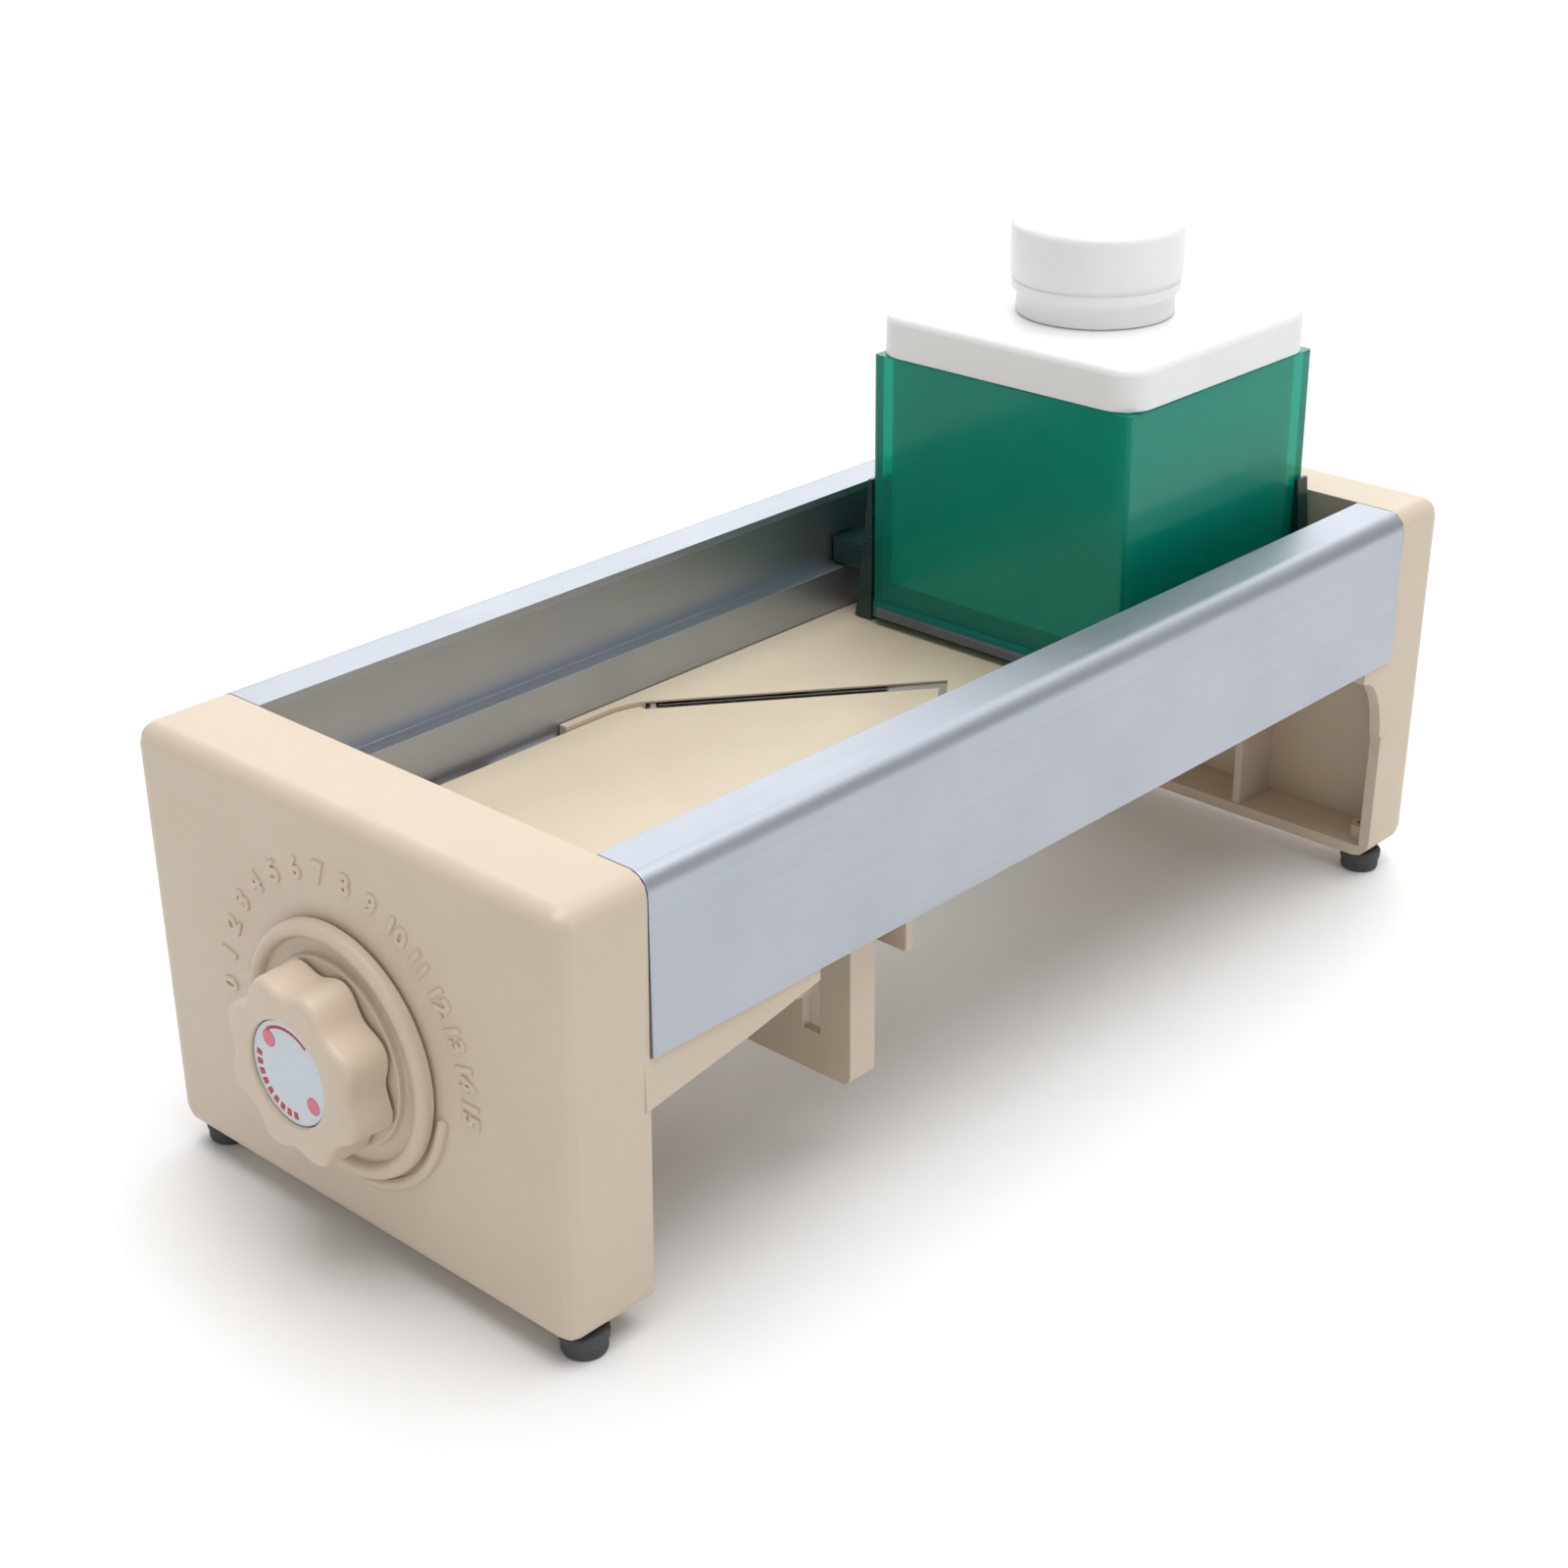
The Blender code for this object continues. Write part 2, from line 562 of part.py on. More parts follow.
# ---- deck, table and blades --------------------------------------------------------
ARM_INNER_X = TABLE_HALF_WIDTH + SEAM
NOTCH_WAY = Vector((NOTCH_OUTER_X, NOTCH_OUTER - NOTCH_APEX, 0)).normalized()
NOTCH_LENGTH = math.hypot(NOTCH_OUTER_X, NOTCH_APEX - NOTCH_OUTER)
INTO_DECK = Vector((-NOTCH_WAY.y, NOTCH_WAY.x, 0))


def seam_curve(inset):
    """Right-hand seam from the straight side round to the blade's outer end."""
    x0 = ARM_INNER_X - inset
    points = []
    for i in range(7):
        t = i / 6
        x = x0 + (NOTCH_OUTER_X - inset - x0) * t * t
        points.append((x, FRONT + NOTCH_START + (NOTCH_OUTER - NOTCH_START) * t))
    return points


def deck_outline():
    edge = STEP_X - GAP
    back = BACK - REAR_CAP_DEPTH - GAP
    right = [(edge, back), (edge, FRONT + ARM_START), (ARM_INNER_X, FRONT + ARM_START)]
    right += seam_curve(0)
    right.append((0, FRONT + NOTCH_APEX))
    left = [(-x, y) for x, y in reversed(right[:-1])]
    return right + left


def table_outline():
    front = FRONT + FRONT_CAP_DEPTH + FIT
    right = [(TABLE_HALF_WIDTH, front)]
    right += seam_curve(SEAM)
    step = Vector((NOTCH_OUTER_X, FRONT + NOTCH_OUTER, 0)) - INTO_DECK * THROAT + NOTCH_WAY * -0.0015
    apex = FRONT + NOTCH_APEX - THROAT / INTO_DECK.y
    right += [(step.x, step.y), (0, apex)]
    left = [(-x, y) for x, y in reversed(right[:-1])]
    return right + left


def blade_space():
    """Place for a section along the right-hand blade: first axis into the deck, second
    axis up from the deck's top, third axis from the apex to the outer end."""
    columns = Matrix.Identity(4)
    for row in range(3):
        columns[row][0] = INTO_DECK[row]
        columns[row][1] = (0, 0, 1)[row]
        columns[row][2] = NOTCH_WAY[row]
    return Matrix.Translation((0, FRONT + NOTCH_APEX, DECK_TOP)) @ columns


def blade_section(name, points, start, end, finish=None):
    """A section run along the right-hand blade from `start` to `end` off the apex."""
    shift = Matrix.Translation((0, 0, (start + end) / 2))
    return outline(name, [points], end - start, blade_space() @ shift, finish)


WEDGE_SLOPE = 0.24
WEDGE_LIP = 0.0007           # deck left above the blade at the edge
BLADE_THICKNESS = 0.001
BLADE_REACH = 0.0016         # how far the edge stands out over the throat
BLADE_DEPTH = 0.013
BLADE_INNER = 0.020          # from the apex to the blade's inner end
BLADE_OUTER = 0.006          # from the blade's outer end to the notch's outer end
HOLDER_DEPTH = 0.016
HOLDER_DROP = 0.0085         # holder's underside below the deck top
EAR_LOW = -DECK_THICKNESS - 0.003


def under_wedge(p, drop=0.0):
    return -WEDGE_LIP - WEDGE_SLOPE * p - drop


def rear_deck():
    deck = outline("rear_deck", [deck_outline()], DECK_THICKNESS, level(DECK_BOTTOM, DECK_TOP), BEIGE)
    skirt_y = (FRONT + ARM_START, BACK - REAR_CAP_DEPTH - GAP)
    for side in (-1, 1):
        skirt_x = sorted((side * (LEDGE_X + GAP), side * (STEP_X - GAP)))
        skirt = block(f"deck_skirt_{side}", skirt_x, skirt_y,
                      (RAIL_BOTTOM + RAIL_WALL + GAP, DECK_BOTTOM + 0.001))
        join(deck, skirt)
    low = -DECK_THICKNESS - 0.004
    reach = (DECK_THICKNESS - WEDGE_LIP) / WEDGE_SLOPE + 0.0005
    wedge_points = [(-0.0006, under_wedge(-0.0006)), (reach, under_wedge(reach)),
                    (reach, low), (-0.0006, low)]
    wedge = blade_section("deck_wedge", wedge_points, -0.024, NOTCH_LENGTH - 0.002)
    own_side = block("wedge_half", (-GAP / 2, HALF), (FRONT, BACK), (0, CAP_TOP))
    boolean(wedge, own_side, "INTERSECT")
    cut(deck, wedge, mirrored(wedge, "deck_wedge_left"))
    for side in (-1, 1):
        hole = rod(f"holder_hole_{side}", "Z", (*holder_screw_place(side), DECK_BOTTOM - 0.002),
                   0.0045, SCREW_RADIUS + GAP)
        cut(deck, hole)
    return deck


def holder_screw_place(side):
    place = Vector((0, FRONT + NOTCH_APEX, 0)) + NOTCH_WAY * 0.050 + INTO_DECK * 0.0195
    return side * place.x, place.y


def blade_holder():
    """White V-shaped carrier under the deck edge that both blades are screwed to."""
    front = 0.0002
    base_drop = GAP + BLADE_THICKNESS + 2 * GAP
    base_back = under_wedge(HOLDER_DEPTH, base_drop)
    base_points = [(front, under_wedge(front, base_drop)), (HOLDER_DEPTH, base_back),
                   (HOLDER_DEPTH, -HOLDER_DROP), (front, -HOLDER_DROP)]
    nose = front + GAP
    end_points = [(nose, under_wedge(nose, GAP)), (0.010, under_wedge(0.010, GAP)),
                  (0.010, -0.006), (nose, -0.006)]
    arm = blade_section("holder_arm", base_points, -0.02, NOTCH_LENGTH - 0.003)
    inner_end = blade_section("holder_inner_end", end_points, -0.018, BLADE_INNER - FIT)
    outer_end = blade_section("holder_outer_end", end_points, NOTCH_LENGTH - BLADE_OUTER + FIT,
                              NOTCH_LENGTH - 0.0035)
    ear_top = -DECK_THICKNESS - GAP
    ear_start, ear_end = HOLDER_DEPTH - 0.002, HOLDER_DEPTH + 0.008
    ear_points = [(ear_start, ear_top), (ear_end, ear_top), (ear_end, EAR_LOW), (ear_start, EAR_LOW)]
    ear = blade_section("holder_ear", ear_points, 0.043, 0.057)
    join(arm, inner_end, outer_end, ear)
    x, y = holder_screw_place(1)
    ear_hole_low = DECK_TOP + EAR_LOW - 0.003
    cut(arm, rod("ear_hole", "Z", (x, y, ear_hole_low), 0.012, SCREW_RADIUS + GAP))
    for place in blade_screw_places():
        cut(arm, rod(f"holder_bore_{place.y:.3f}", "Z", place - Vector((0, 0, 0.02)), 0.03,
                     SCREW_RADIUS + GAP))
    keep = block("holder_half", (0, LEDGE_X - FIT), (FRONT, BACK), (0, CAP_TOP))
    boolean(arm, keep, "INTERSECT")
    half = evaluated_mesh(arm)
    piece = add_object("blade_holder", half, WHITE)
    mirror = piece.modifiers.new("both sides", "MIRROR")
    mirror.merge_threshold = 0.00001
    mirror.use_mirror_merge = True
    smooth(piece)
    bm = bmesh.new()
    bm.from_mesh(piece.data)
    seam = [f for f in bm.faces if all(abs(v.co.x) < 0.000005 for v in f.verts)]
    bmesh.ops.delete(bm, geom=seam, context="FACES_ONLY")
    bm.to_mesh(piece.data)
    bm.free()
    return piece


def blade_screw_places():
    """Undersides of the right-hand blade's screw heads."""
    places = []
    for along in (0.032, NOTCH_LENGTH - 0.018):
        spot = Vector((0, FRONT + NOTCH_APEX, 0)) + NOTCH_WAY * along + INTO_DECK * 0.0085
        spot.z = DECK_TOP - HOLDER_DROP - GAP - SCREW_HEAD_HEIGHT
        places.append(spot)
    return places


def blades():
    drop = 2 * GAP
    tip = -BLADE_REACH
    back = BLADE_DEPTH
    thick = drop + BLADE_THICKNESS
    points = [(tip, under_wedge(tip, drop)), (back, under_wedge(back, drop)),
              (back, under_wedge(back, thick)), (tip + 0.0022, under_wedge(tip + 0.0022, thick))]
    right = blade_section("blade_right", points, BLADE_INNER, NOTCH_LENGTH - BLADE_OUTER, STEEL)
    for place in blade_screw_places():
        hole = rod(f"blade_hole_{place.y:.3f}", "Z", place - Vector((0, 0, 0.01)), 0.03,
                   SCREW_RADIUS + GAP)
        cut(right, hole)
    keep = block("blade_room", (0, STEP_X - FIT), (FRONT, BACK), (0, CAP_TOP))
    boolean(right, keep, "INTERSECT")
    mirrored(right, "blade_left", STEEL)
    for i, place in enumerate(blade_screw_places()):
        for hand, side in (("left", -1), ("right", 1)):
            screw_shape(f"blade_screw_{hand}_{i + 1}", (side * place.x, place.y, place.z), 0.0056)
    for hand, side in (("left", -1), ("right", 1)):
        head = DECK_TOP + EAR_LOW - GAP - SCREW_HEAD_HEIGHT
        screw_shape(f"holder_screw_{hand}", (*holder_screw_place(side), head), 0.0056)


def thickness_table():
    table = outline("thickness_table", [table_outline()], TABLE_THICKNESS,
                    level(TABLE_BOTTOM, TABLE_TOP), BEIGE)
    overlap = TABLE_BOTTOM + 0.001
    for x in (-TABLE_RIB_X, TABLE_RIB_X):
        rib = block(f"table_rib_{x:+.3f}", (x - 0.0015, x + 0.0015),
                    (FRONT + FRONT_CAP_DEPTH + 0.006, FRONT + NOTCH_OUTER + 0.010),
                    (TABLE_BOTTOM - TABLE_RIB_DEPTH, overlap))
        join(table, rib)
    arm_back = FRONT + BRIDGE_FRONT - FIT
    arm_low = TABLE_TOP - GUIDE_PIN_DROP - GUIDE_PIN_RADIUS - 0.002
    for side in (-1, 1):
        arm_x = sorted((side * (SLOT_X - 0.004), side * (TABLE_HALF_WIDTH - 0.0002)))
        arm = block(f"guide_arm_{side}", arm_x, (arm_back - 0.007, arm_back), (arm_low, overlap))
        x, y, z = guide_pin_start(side)
        hole = rod(f"guide_hole_{side}", "Y", (x, y - 0.002, z), 0.02, GUIDE_PIN_RADIUS + GAP)
        join(table, arm)
        cut(table, hole)
    return table


def guide_pin_start(side):
    return (side * SLOT_X, FRONT + BRIDGE_FRONT - FIT - 0.007, TABLE_TOP - GUIDE_PIN_DROP)


def guide_pins():
    length = 0.007 + FIT + BRIDGE_WALL + FIT + 0.0015
    for hand, side in (("left", -1), ("right", 1)):
        start = guide_pin_start(side)
        pin = rod(f"guide_pin_{hand}", "Y", start, length, GUIDE_PIN_RADIUS, STEEL)
        collar = rod(f"pin_collar_{hand}", "Y", (start[0], start[1] + 0.007 + FIT + BRIDGE_WALL + FIT,
                     start[2]), 0.0015, PIN_COLLAR_RADIUS)
        join(pin, collar)


# ---- bridge -------------------------------------------------------------------------
def bridge_outline():
    """Front wall of the bridge in X and Z, with an open-topped guide slot each side."""
    low = CAP_TOP - BRIDGE_BOTTOM
    middle = CAP_TOP - BRIDGE_MIDDLE_DROP
    slot_low = CAP_TOP - SLOT_BOTTOM
    r = 0.003
    right = arc((BRIDGE_HALF_WIDTH - r, low + r), r, -90, 0, 3)
    right += [(BRIDGE_HALF_WIDTH, FLANGE_TOP), (SLOT_X + SLOT_WIDTH / 2, FLANGE_TOP),
              (SLOT_X + SLOT_WIDTH / 2, slot_low), (SLOT_X - SLOT_WIDTH / 2, slot_low),
              (SLOT_X - SLOT_WIDTH / 2, middle)]
    left = [(-x, z) for x, z in reversed(right)]
    return right + left


def bridge():
    y0 = FRONT + BRIDGE_FRONT
    wall_back = y0 + BRIDGE_WALL
    y1 = y0 + BRIDGE_DEPTH
    low = CAP_TOP - BRIDGE_BOTTOM
    inner = BRIDGE_HALF_WIDTH - BRIDGE_WALL
    arm_back = y0 + BRIDGE_ARM_REACH
    piece = outline("blade_bridge", [bridge_outline()], BRIDGE_WALL, across(y0, wall_back), BEIGE)
    floor = block("bridge_floor", (-inner - 0.001, inner + 0.001), (wall_back - 0.001, y1),
                  (low, low + BRIDGE_WALL))
    join(piece, floor)
    for side in (-1, 1):
        cheek_x = sorted((side * inner, side * BRIDGE_HALF_WIDTH))
        cheek = block(f"bridge_cheek_{side}", cheek_x, (wall_back - 0.001, y1),
                      (low + 0.002, FLANGE_TOP))
        arm_x = sorted((side * (SLOT_X + SLOT_WIDTH / 2), side * BRIDGE_HALF_WIDTH))
        arm = block(f"bridge_arm_{side}", arm_x, (wall_back - 0.001, arm_back),
                    (FLANGE_BOTTOM, FLANGE_TOP))
        lug_y = (arm_back - LUG_LENGTH, arm_back)
        lug = block(f"bridge_lug_{side}", arm_x, lug_y, (RAIL_BOTTOM - LUG_DROP, FLANGE_BOTTOM + 0.001))
        web_x = sorted((side * (inner - 0.001), side * (inner + 0.001)))
        web_y = (BRIDGE_SCREW_Y + SCREW_HEAD_RADIUS + FIT, lug_y[0] + 0.001)
        lug_web = block(f"bridge_lug_web_{side}", web_x, web_y,
                        (RAIL_BOTTOM - LUG_WEB_DROP, FLANGE_BOTTOM + 0.001))
        hole = rod(f"bridge_hole_{side}", "Z", (side * BRIDGE_SCREW_X, BRIDGE_SCREW_Y,
                   FLANGE_BOTTOM - 0.002), 0.008, SCREW_RADIUS + GAP)
        join(piece, cheek, arm, lug, lug_web)
        cut(piece, hole)
    boss = rod("rear_bush_boss", "Y", (0, y0 + 0.001, DIAL_Z), BRIDGE_DEPTH - 0.002, BUSH_RADIUS + BOSS_WALL)
    bush_hole = rod("rear_bush_hole", "Y", (0, y0 - 0.002, DIAL_Z), 0.020, BUSH_RADIUS + GAP)
    join(piece, boss)
    cut(piece, bush_hole)
    guide_x = SLOT_X - PIN_COLLAR_RADIUS - FIT - GUIDE_WALL / 2
    for x in (-guide_x, -BRIDGE_RIB_X, BRIDGE_RIB_X, guide_x):
        rib = block(f"bridge_rib_{x:+.3f}", (x - GUIDE_WALL / 2, x + GUIDE_WALL / 2),
                    (wall_back - 0.001, y1), (low + 0.001, CAP_TOP - BRIDGE_MIDDLE_DROP))
        join(piece, rib)


# ---- thickness dial and cams ------------------------------------------------------------
BALL_RADIUS = 0.002
BALL_TRACK = 0.032           # detent ball's distance from the dial's axis
DISC_BACK = FRONT - GAP
DISC_THICKNESS = 0.0050
KNOB_BACK = DISC_BACK - DISC_THICKNESS - GAP
KNOB_FRONT = FRONT - DIAL_REACH
LABEL_DEPTH = 0.0022
FRONT_CAM_Y = FRONT + FRONT_CAM_PLACE
REAR_CAM_Y = FRONT + REAR_CAM_PLACE


def ball_place(y):
    """Point at depth y behind the cap face on the detent ball's line."""
    angle = math.radians(SETTING_NOW * 12)
    return (BALL_TRACK * math.cos(angle), FRONT + y, DIAL_Z - BALL_TRACK * math.sin(angle))


def scale_way(setting):
    """Direction from the dial's axis to a setting on the cap: 0 is at the left and the
    settings run clockwise, seen from the front."""
    angle = math.pi - DIAL_SWEEP * setting / 15
    return math.cos(angle), math.sin(angle)


def dial_disc():
    t = DISC_THICKNESS
    rim = 0.0024
    profile = [(SHAFT_RADIUS + GAP, 0.0002), (DISC_RADIUS - 0.0008, 0.0002), (DISC_RADIUS, 0.001),
               (DISC_RADIUS, t - rim)]
    rim_arc = arc((DISC_RADIUS - rim, t - rim), rim, 0, 180, 6)[1:]
    dish = DISC_RADIUS - 2 * rim
    profile = profile + rim_arc
    profile += [(dish, t - 0.0028), (KNOB_RADIUS + 0.0022, t - 0.0028), (KNOB_RADIUS + 0.0018, t - 0.0006),
                (SHAFT_RADIUS + GAP, t - 0.0006)]
    facing_front = [(r, -h) for r, h in profile]
    disc = turned("dial_disc", "Y", (0, DISC_BACK, DIAL_Z), facing_front, BEIGE, steps=40, closed=True)
    way = scale_way(SETTING_NOW)
    nub_x, nub_z = way[0] * DISC_RADIUS, DIAL_Z + way[1] * DISC_RADIUS
    nub = rod("dial_nub", "Y", (nub_x, DISC_BACK - 0.0042, nub_z), 0.0036, 0.0021, segments=16)
    join(disc, nub)
    return disc


def knob_outline():
    points = []
    count = KNOB_LOBES * 8
    for i in range(count):
        angle = 2 * math.pi * i / count
        radius = KNOB_RADIUS + LOBE_HEIGHT * math.cos(KNOB_LOBES * (angle - LOBE_TURN))
        points.append((radius * math.cos(angle), DIAL_Z + radius * math.sin(angle)))
    return points


def dial_knob():
    knob = outline("dial_knob", [knob_outline()], KNOB_BACK - KNOB_FRONT,
                   across(KNOB_FRONT, KNOB_BACK), BEIGE)
    soften(knob, 0.0014, segments=1, angle=60)
    face = (0, KNOB_FRONT - 0.001, DIAL_Z)
    label_room = rod("label_room", "Y", face, LABEL_DEPTH + 0.001, LABEL_RADIUS + GAP, segments=36)
    head_room = rod("head_room", "Y", face, 0.0075, SCREW_HEAD_RADIUS + 0.001)
    bolt_hole = rod("bolt_hole", "Y", face, DIAL_REACH, SCREW_RADIUS + GAP)
    shaft_hole = rod("knob_shaft_hole", "Y", (0, KNOB_BACK - 0.0055, DIAL_Z), 0.008, SHAFT_RADIUS + GAP)
    cut(knob, label_room, head_room, bolt_hole, shaft_hole)
    smooth(knob)
    return knob


def dial_label():
    return rod("dial_label", "Y", (0, KNOB_FRONT + LABEL_DEPTH - GAP - 0.0008, DIAL_Z), 0.0008,
               LABEL_RADIUS, LABEL, segments=36)


def knob_screw():
    """Holds the knob on the shaft; its head is under the label."""
    head_y = KNOB_FRONT + 0.0065 - GAP - SCREW_HEAD_HEIGHT
    h = SCREW_HEAD_HEIGHT
    end = FRONT - 0.002
    profile = [(0, end - head_y), (SCREW_RADIUS, end - head_y), (SCREW_RADIUS, h),
               (SCREW_HEAD_RADIUS, h), (SCREW_HEAD_RADIUS, 0), (0, 0)]
    return turned("knob_screw", "Y", (0, head_y, DIAL_Z), profile, STEEL, steps=12)


def adjusting_shaft():
    start = KNOB_BACK - 0.0055 + GAP
    end = FRONT + BRIDGE_FRONT + BRIDGE_DEPTH + 0.004
    shaft = rod("adjusting_shaft", "Y", (0, start, DIAL_Z), end - start, SHAFT_RADIUS, STEEL)
    thread = rod("shaft_thread", "Y", (0, start - 0.001, DIAL_Z), 0.016, SCREW_RADIUS + GAP)
    groove = turned("shaft_groove", "Y", (0, clip_y() + CLIP_THICKNESS / 2, DIAL_Z),
                    ring_profile(SHAFT_RADIUS - 0.0006, SHAFT_RADIUS + 0.002, CLIP_THICKNESS + 2 * GAP),
                    steps=24, closed=True)
    cut(shaft, thread, groove)
    return shaft


CLIP_THICKNESS = 0.0008


def clip_y():
    return FRONT + BRIDGE_FRONT + BRIDGE_DEPTH + 0.0012


def ring_profile(inner, outer, length):
    return [(inner, length / 2), (outer, length / 2), (outer, -length / 2), (inner, -length / 2)]


def shaft_clip():
    middle = (0, clip_y() + CLIP_THICKNESS / 2, DIAL_Z)
    ring = ring_profile(SHAFT_RADIUS - 0.0006 + GAP, SHAFT_RADIUS + 0.0025, CLIP_THICKNESS)
    clip = turned("shaft_clip", "Y", middle, ring, STEEL, steps=24, closed=True)
    opening = block("clip_opening", (-0.0022, 0.0022), (middle[1] - 0.002, middle[1] + 0.002),
                    (DIAL_Z - 0.008, DIAL_Z))
    cut(clip, opening)
    return clip


def bushes():
    for name, y0, y1 in (("bush_front", FRONT + 0.0002, FRONT + 0.0102),
                         ("bush_rear", FRONT + BRIDGE_FRONT, FRONT + BRIDGE_FRONT + BRIDGE_DEPTH)):
        ring = ring_profile(SHAFT_RADIUS + GAP, BUSH_RADIUS, y1 - y0)
        turned(name, "Y", (0, (y0 + y1) / 2, DIAL_Z), ring, BRONZE, steps=20, closed=True)


def cam_outline():
    """An involute: its highest point falls evenly as the dial turns clockwise, and it
    never rises above the flat pad that rests on it."""
    rest_height = TABLE_BOTTOM - PAD_THICKNESS - 2 * GAP - DIAL_Z
    margin = math.radians(4)
    first = -DIAL_SWEEP * SETTING_NOW / 15 - margin
    last = DIAL_SWEEP * (1 - SETTING_NOW / 15) + margin
    count = 36
    points = []
    for i in range(count + 1):
        turn = first + (last - first) * i / count
        height = rest_height - CAM_RATE * turn
        normal = Vector((-math.sin(turn), math.cos(turn)))
        tangent = Vector((-math.cos(turn), -math.sin(turn)))
        point = normal * height - tangent * CAM_RATE
        points.append((point.x, DIAL_Z + point.y))
    return points


def cam(name, y):
    lobe = outline(name, [cam_outline()], CAM_THICKNESS, across(y, y + CAM_THICKNESS), WHITE)
    hub = rod(name + "_hub", "Y", (0, y - 0.002, DIAL_Z), CAM_THICKNESS + 0.004, CAM_HUB_RADIUS)
    bore = rod(name + "_bore", "Y", (0, y - 0.004, DIAL_Z), CAM_THICKNESS + 0.008, SHAFT_RADIUS + GAP)
    join(lobe, hub)
    cut(lobe, bore)
    smooth(lobe)
    return lobe


def lift_pads():
    top = TABLE_BOTTOM - GAP
    for name, y in (("lift_pad_front", FRONT_CAM_Y), ("lift_pad_rear", REAR_CAM_Y)):
        block(name, (-0.010, 0.010), (y - 0.001, y + CAM_THICKNESS + 0.001),
              (top - PAD_THICKNESS, top), WHITE)


def detent():
    middle = ball_place(BALL_RADIUS + 0.0002)
    bm = bmesh.new()
    bmesh.ops.create_uvsphere(bm, u_segments=12, v_segments=8, radius=BALL_RADIUS,
                              matrix=Matrix.Translation(middle))
    ball = add_object("detent_ball", mesh_from("detent_ball", bm), STEEL)
    smooth(ball, 60)
    wire, radius = 0.00025, BALL_RADIUS - 0.0004
    start, end = ball_place(2 * BALL_RADIUS + 0.0007), ball_place(0.0102)
    turns, per_turn = 5, 8
    count = turns * per_turn
    curve = bpy.data.curves.new("detent_spring", "CURVE")
    curve.dimensions = "3D"
    curve.bevel_depth = wire
    curve.bevel_resolution = 2
    curve.use_fill_caps = True
    spline = curve.splines.new("POLY")
    spline.points.add(count)
    for i, point in enumerate(spline.points):
        angle = 2 * math.pi * i / per_turn
        y = start[1] + (end[1] - start[1]) * i / count
        point.co = (start[0] + radius * math.cos(angle), y, start[2] + radius * math.sin(angle), 1)
    spring = bpy.data.objects.new("detent_spring_path", curve)
    bpy.context.scene.collection.objects.link(spring)
    mesh = evaluated_mesh(spring)
    bpy.data.objects.remove(spring, do_unlink=True)
    bm = bmesh.new()
    bm.from_mesh(mesh)
    bmesh.ops.remove_doubles(bm, verts=bm.verts, dist=0.000001)
    piece = add_object("detent_spring", mesh_from("detent_spring", bm), STEEL)
    smooth(piece, 60)


# ---- food box and pusher ------------------------------------------------------------------
def carriage_box():
    y1 = BOX_Y + BOX_LENGTH
    x = BOX_HALF_WIDTH
    box = block("carriage_box", (-x, x), (BOX_Y, y1), (BOX_BOTTOM, BOX_TOP), EMERALD)
    bm = bmesh.new()
    bm.from_mesh(box.data)
    upright = [e for e in bm.edges if abs(e.verts[0].co.z - e.verts[1].co.z) > BOX_RISE]
    bmesh.ops.bevel(bm, geom=upright, offset=0.0018, segments=3, profile=0.5, affect="EDGES",
                    material=-1)
    bm.to_mesh(box.data)
    bm.free()
    shoe = block("box_shoe", (-x + 0.0015, x - 0.0015), (BOX_Y - 0.0012, y1 + 0.0012),
                 (BOX_BOTTOM, BOX_BOTTOM + 0.0058))
    inside = block("box_inside", (-x + BOX_WALL, x - BOX_WALL), (BOX_Y + BOX_WALL, y1 - BOX_WALL),
                   (BOX_BOTTOM - 0.01, BOX_TOP + 0.01))
    join(box, shoe)
    cut(box, inside)
    smooth(box)
    return box


def runners():
    """Side runners bonded to the box.  Two tabs on each ride in a rail's channel, and
    the post is at the rear of the right runner and at the front of the left one."""
    y1 = BOX_Y + BOX_LENGTH
    runner("runner_right", 1, (y1 - RUNNER_POST_LENGTH, y1))
    runner("runner_left", -1, (BOX_Y, BOX_Y + RUNNER_POST_LENGTH))


def runner(name, side, post_y):
    low = DECK_TOP + FIT
    bend = low + 0.006
    inner = BOX_HALF_WIDTH + GAP
    thin = inner + 0.0016
    wide = RUNNER_FOOT_X - 0.0014
    strip_top = CAP_TOP - RUNNER_DROP
    post_top = CAP_TOP + RUNNER_POST_RISE
    strip_x = wide + (thin - wide) * (strip_top - bend) / (post_top - bend)
    strip_points = [(inner, strip_top), (strip_x, strip_top), (wide, bend), (RUNNER_FOOT_X, low),
                    (inner, low)]
    inset = GAP / 2
    post_points = [(inner + inset, post_top), (thin - inset, post_top), (wide - inset, bend),
                   (wide - inset, low + 0.003), (inner + inset, low + 0.003)]
    strip = outline(name, [[(side * x, z) for x, z in strip_points]], BOX_LENGTH,
                    across(BOX_Y, BOX_Y + BOX_LENGTH), DARK_GREEN)
    post = outline(name + "_post", [[(side * x, z) for x, z in post_points]],
                   RUNNER_POST_LENGTH - 2 * inset, across(post_y[0] + inset, post_y[1] - inset))
    join(strip, post)
    step_z = CAP_TOP - RAIL_STEP_DROP
    tab_length = 0.014
    tab_x = sorted((side * (inner + 0.001), side * TAB_REACH))
    for y in (BOX_Y + 0.004, BOX_Y + BOX_LENGTH - 0.004 - tab_length):
        tab = block(f"{name}_tab_{y:.3f}", tab_x, (y, y + tab_length), (step_z + FIT, step_z + 0.0095))
        join(strip, tab)
    smooth(strip)


def rounded_square(half_x, half_y, radius, middle_y, count=6):
    points = []
    for corner, (sx, sy) in enumerate(((1, 1), (-1, 1), (-1, -1), (1, -1))):
        middle = (sx * (half_x - radius), middle_y + sy * (half_y - radius))
        points += arc(middle, radius, corner * 90, corner * 90 + 90, count)
    return points


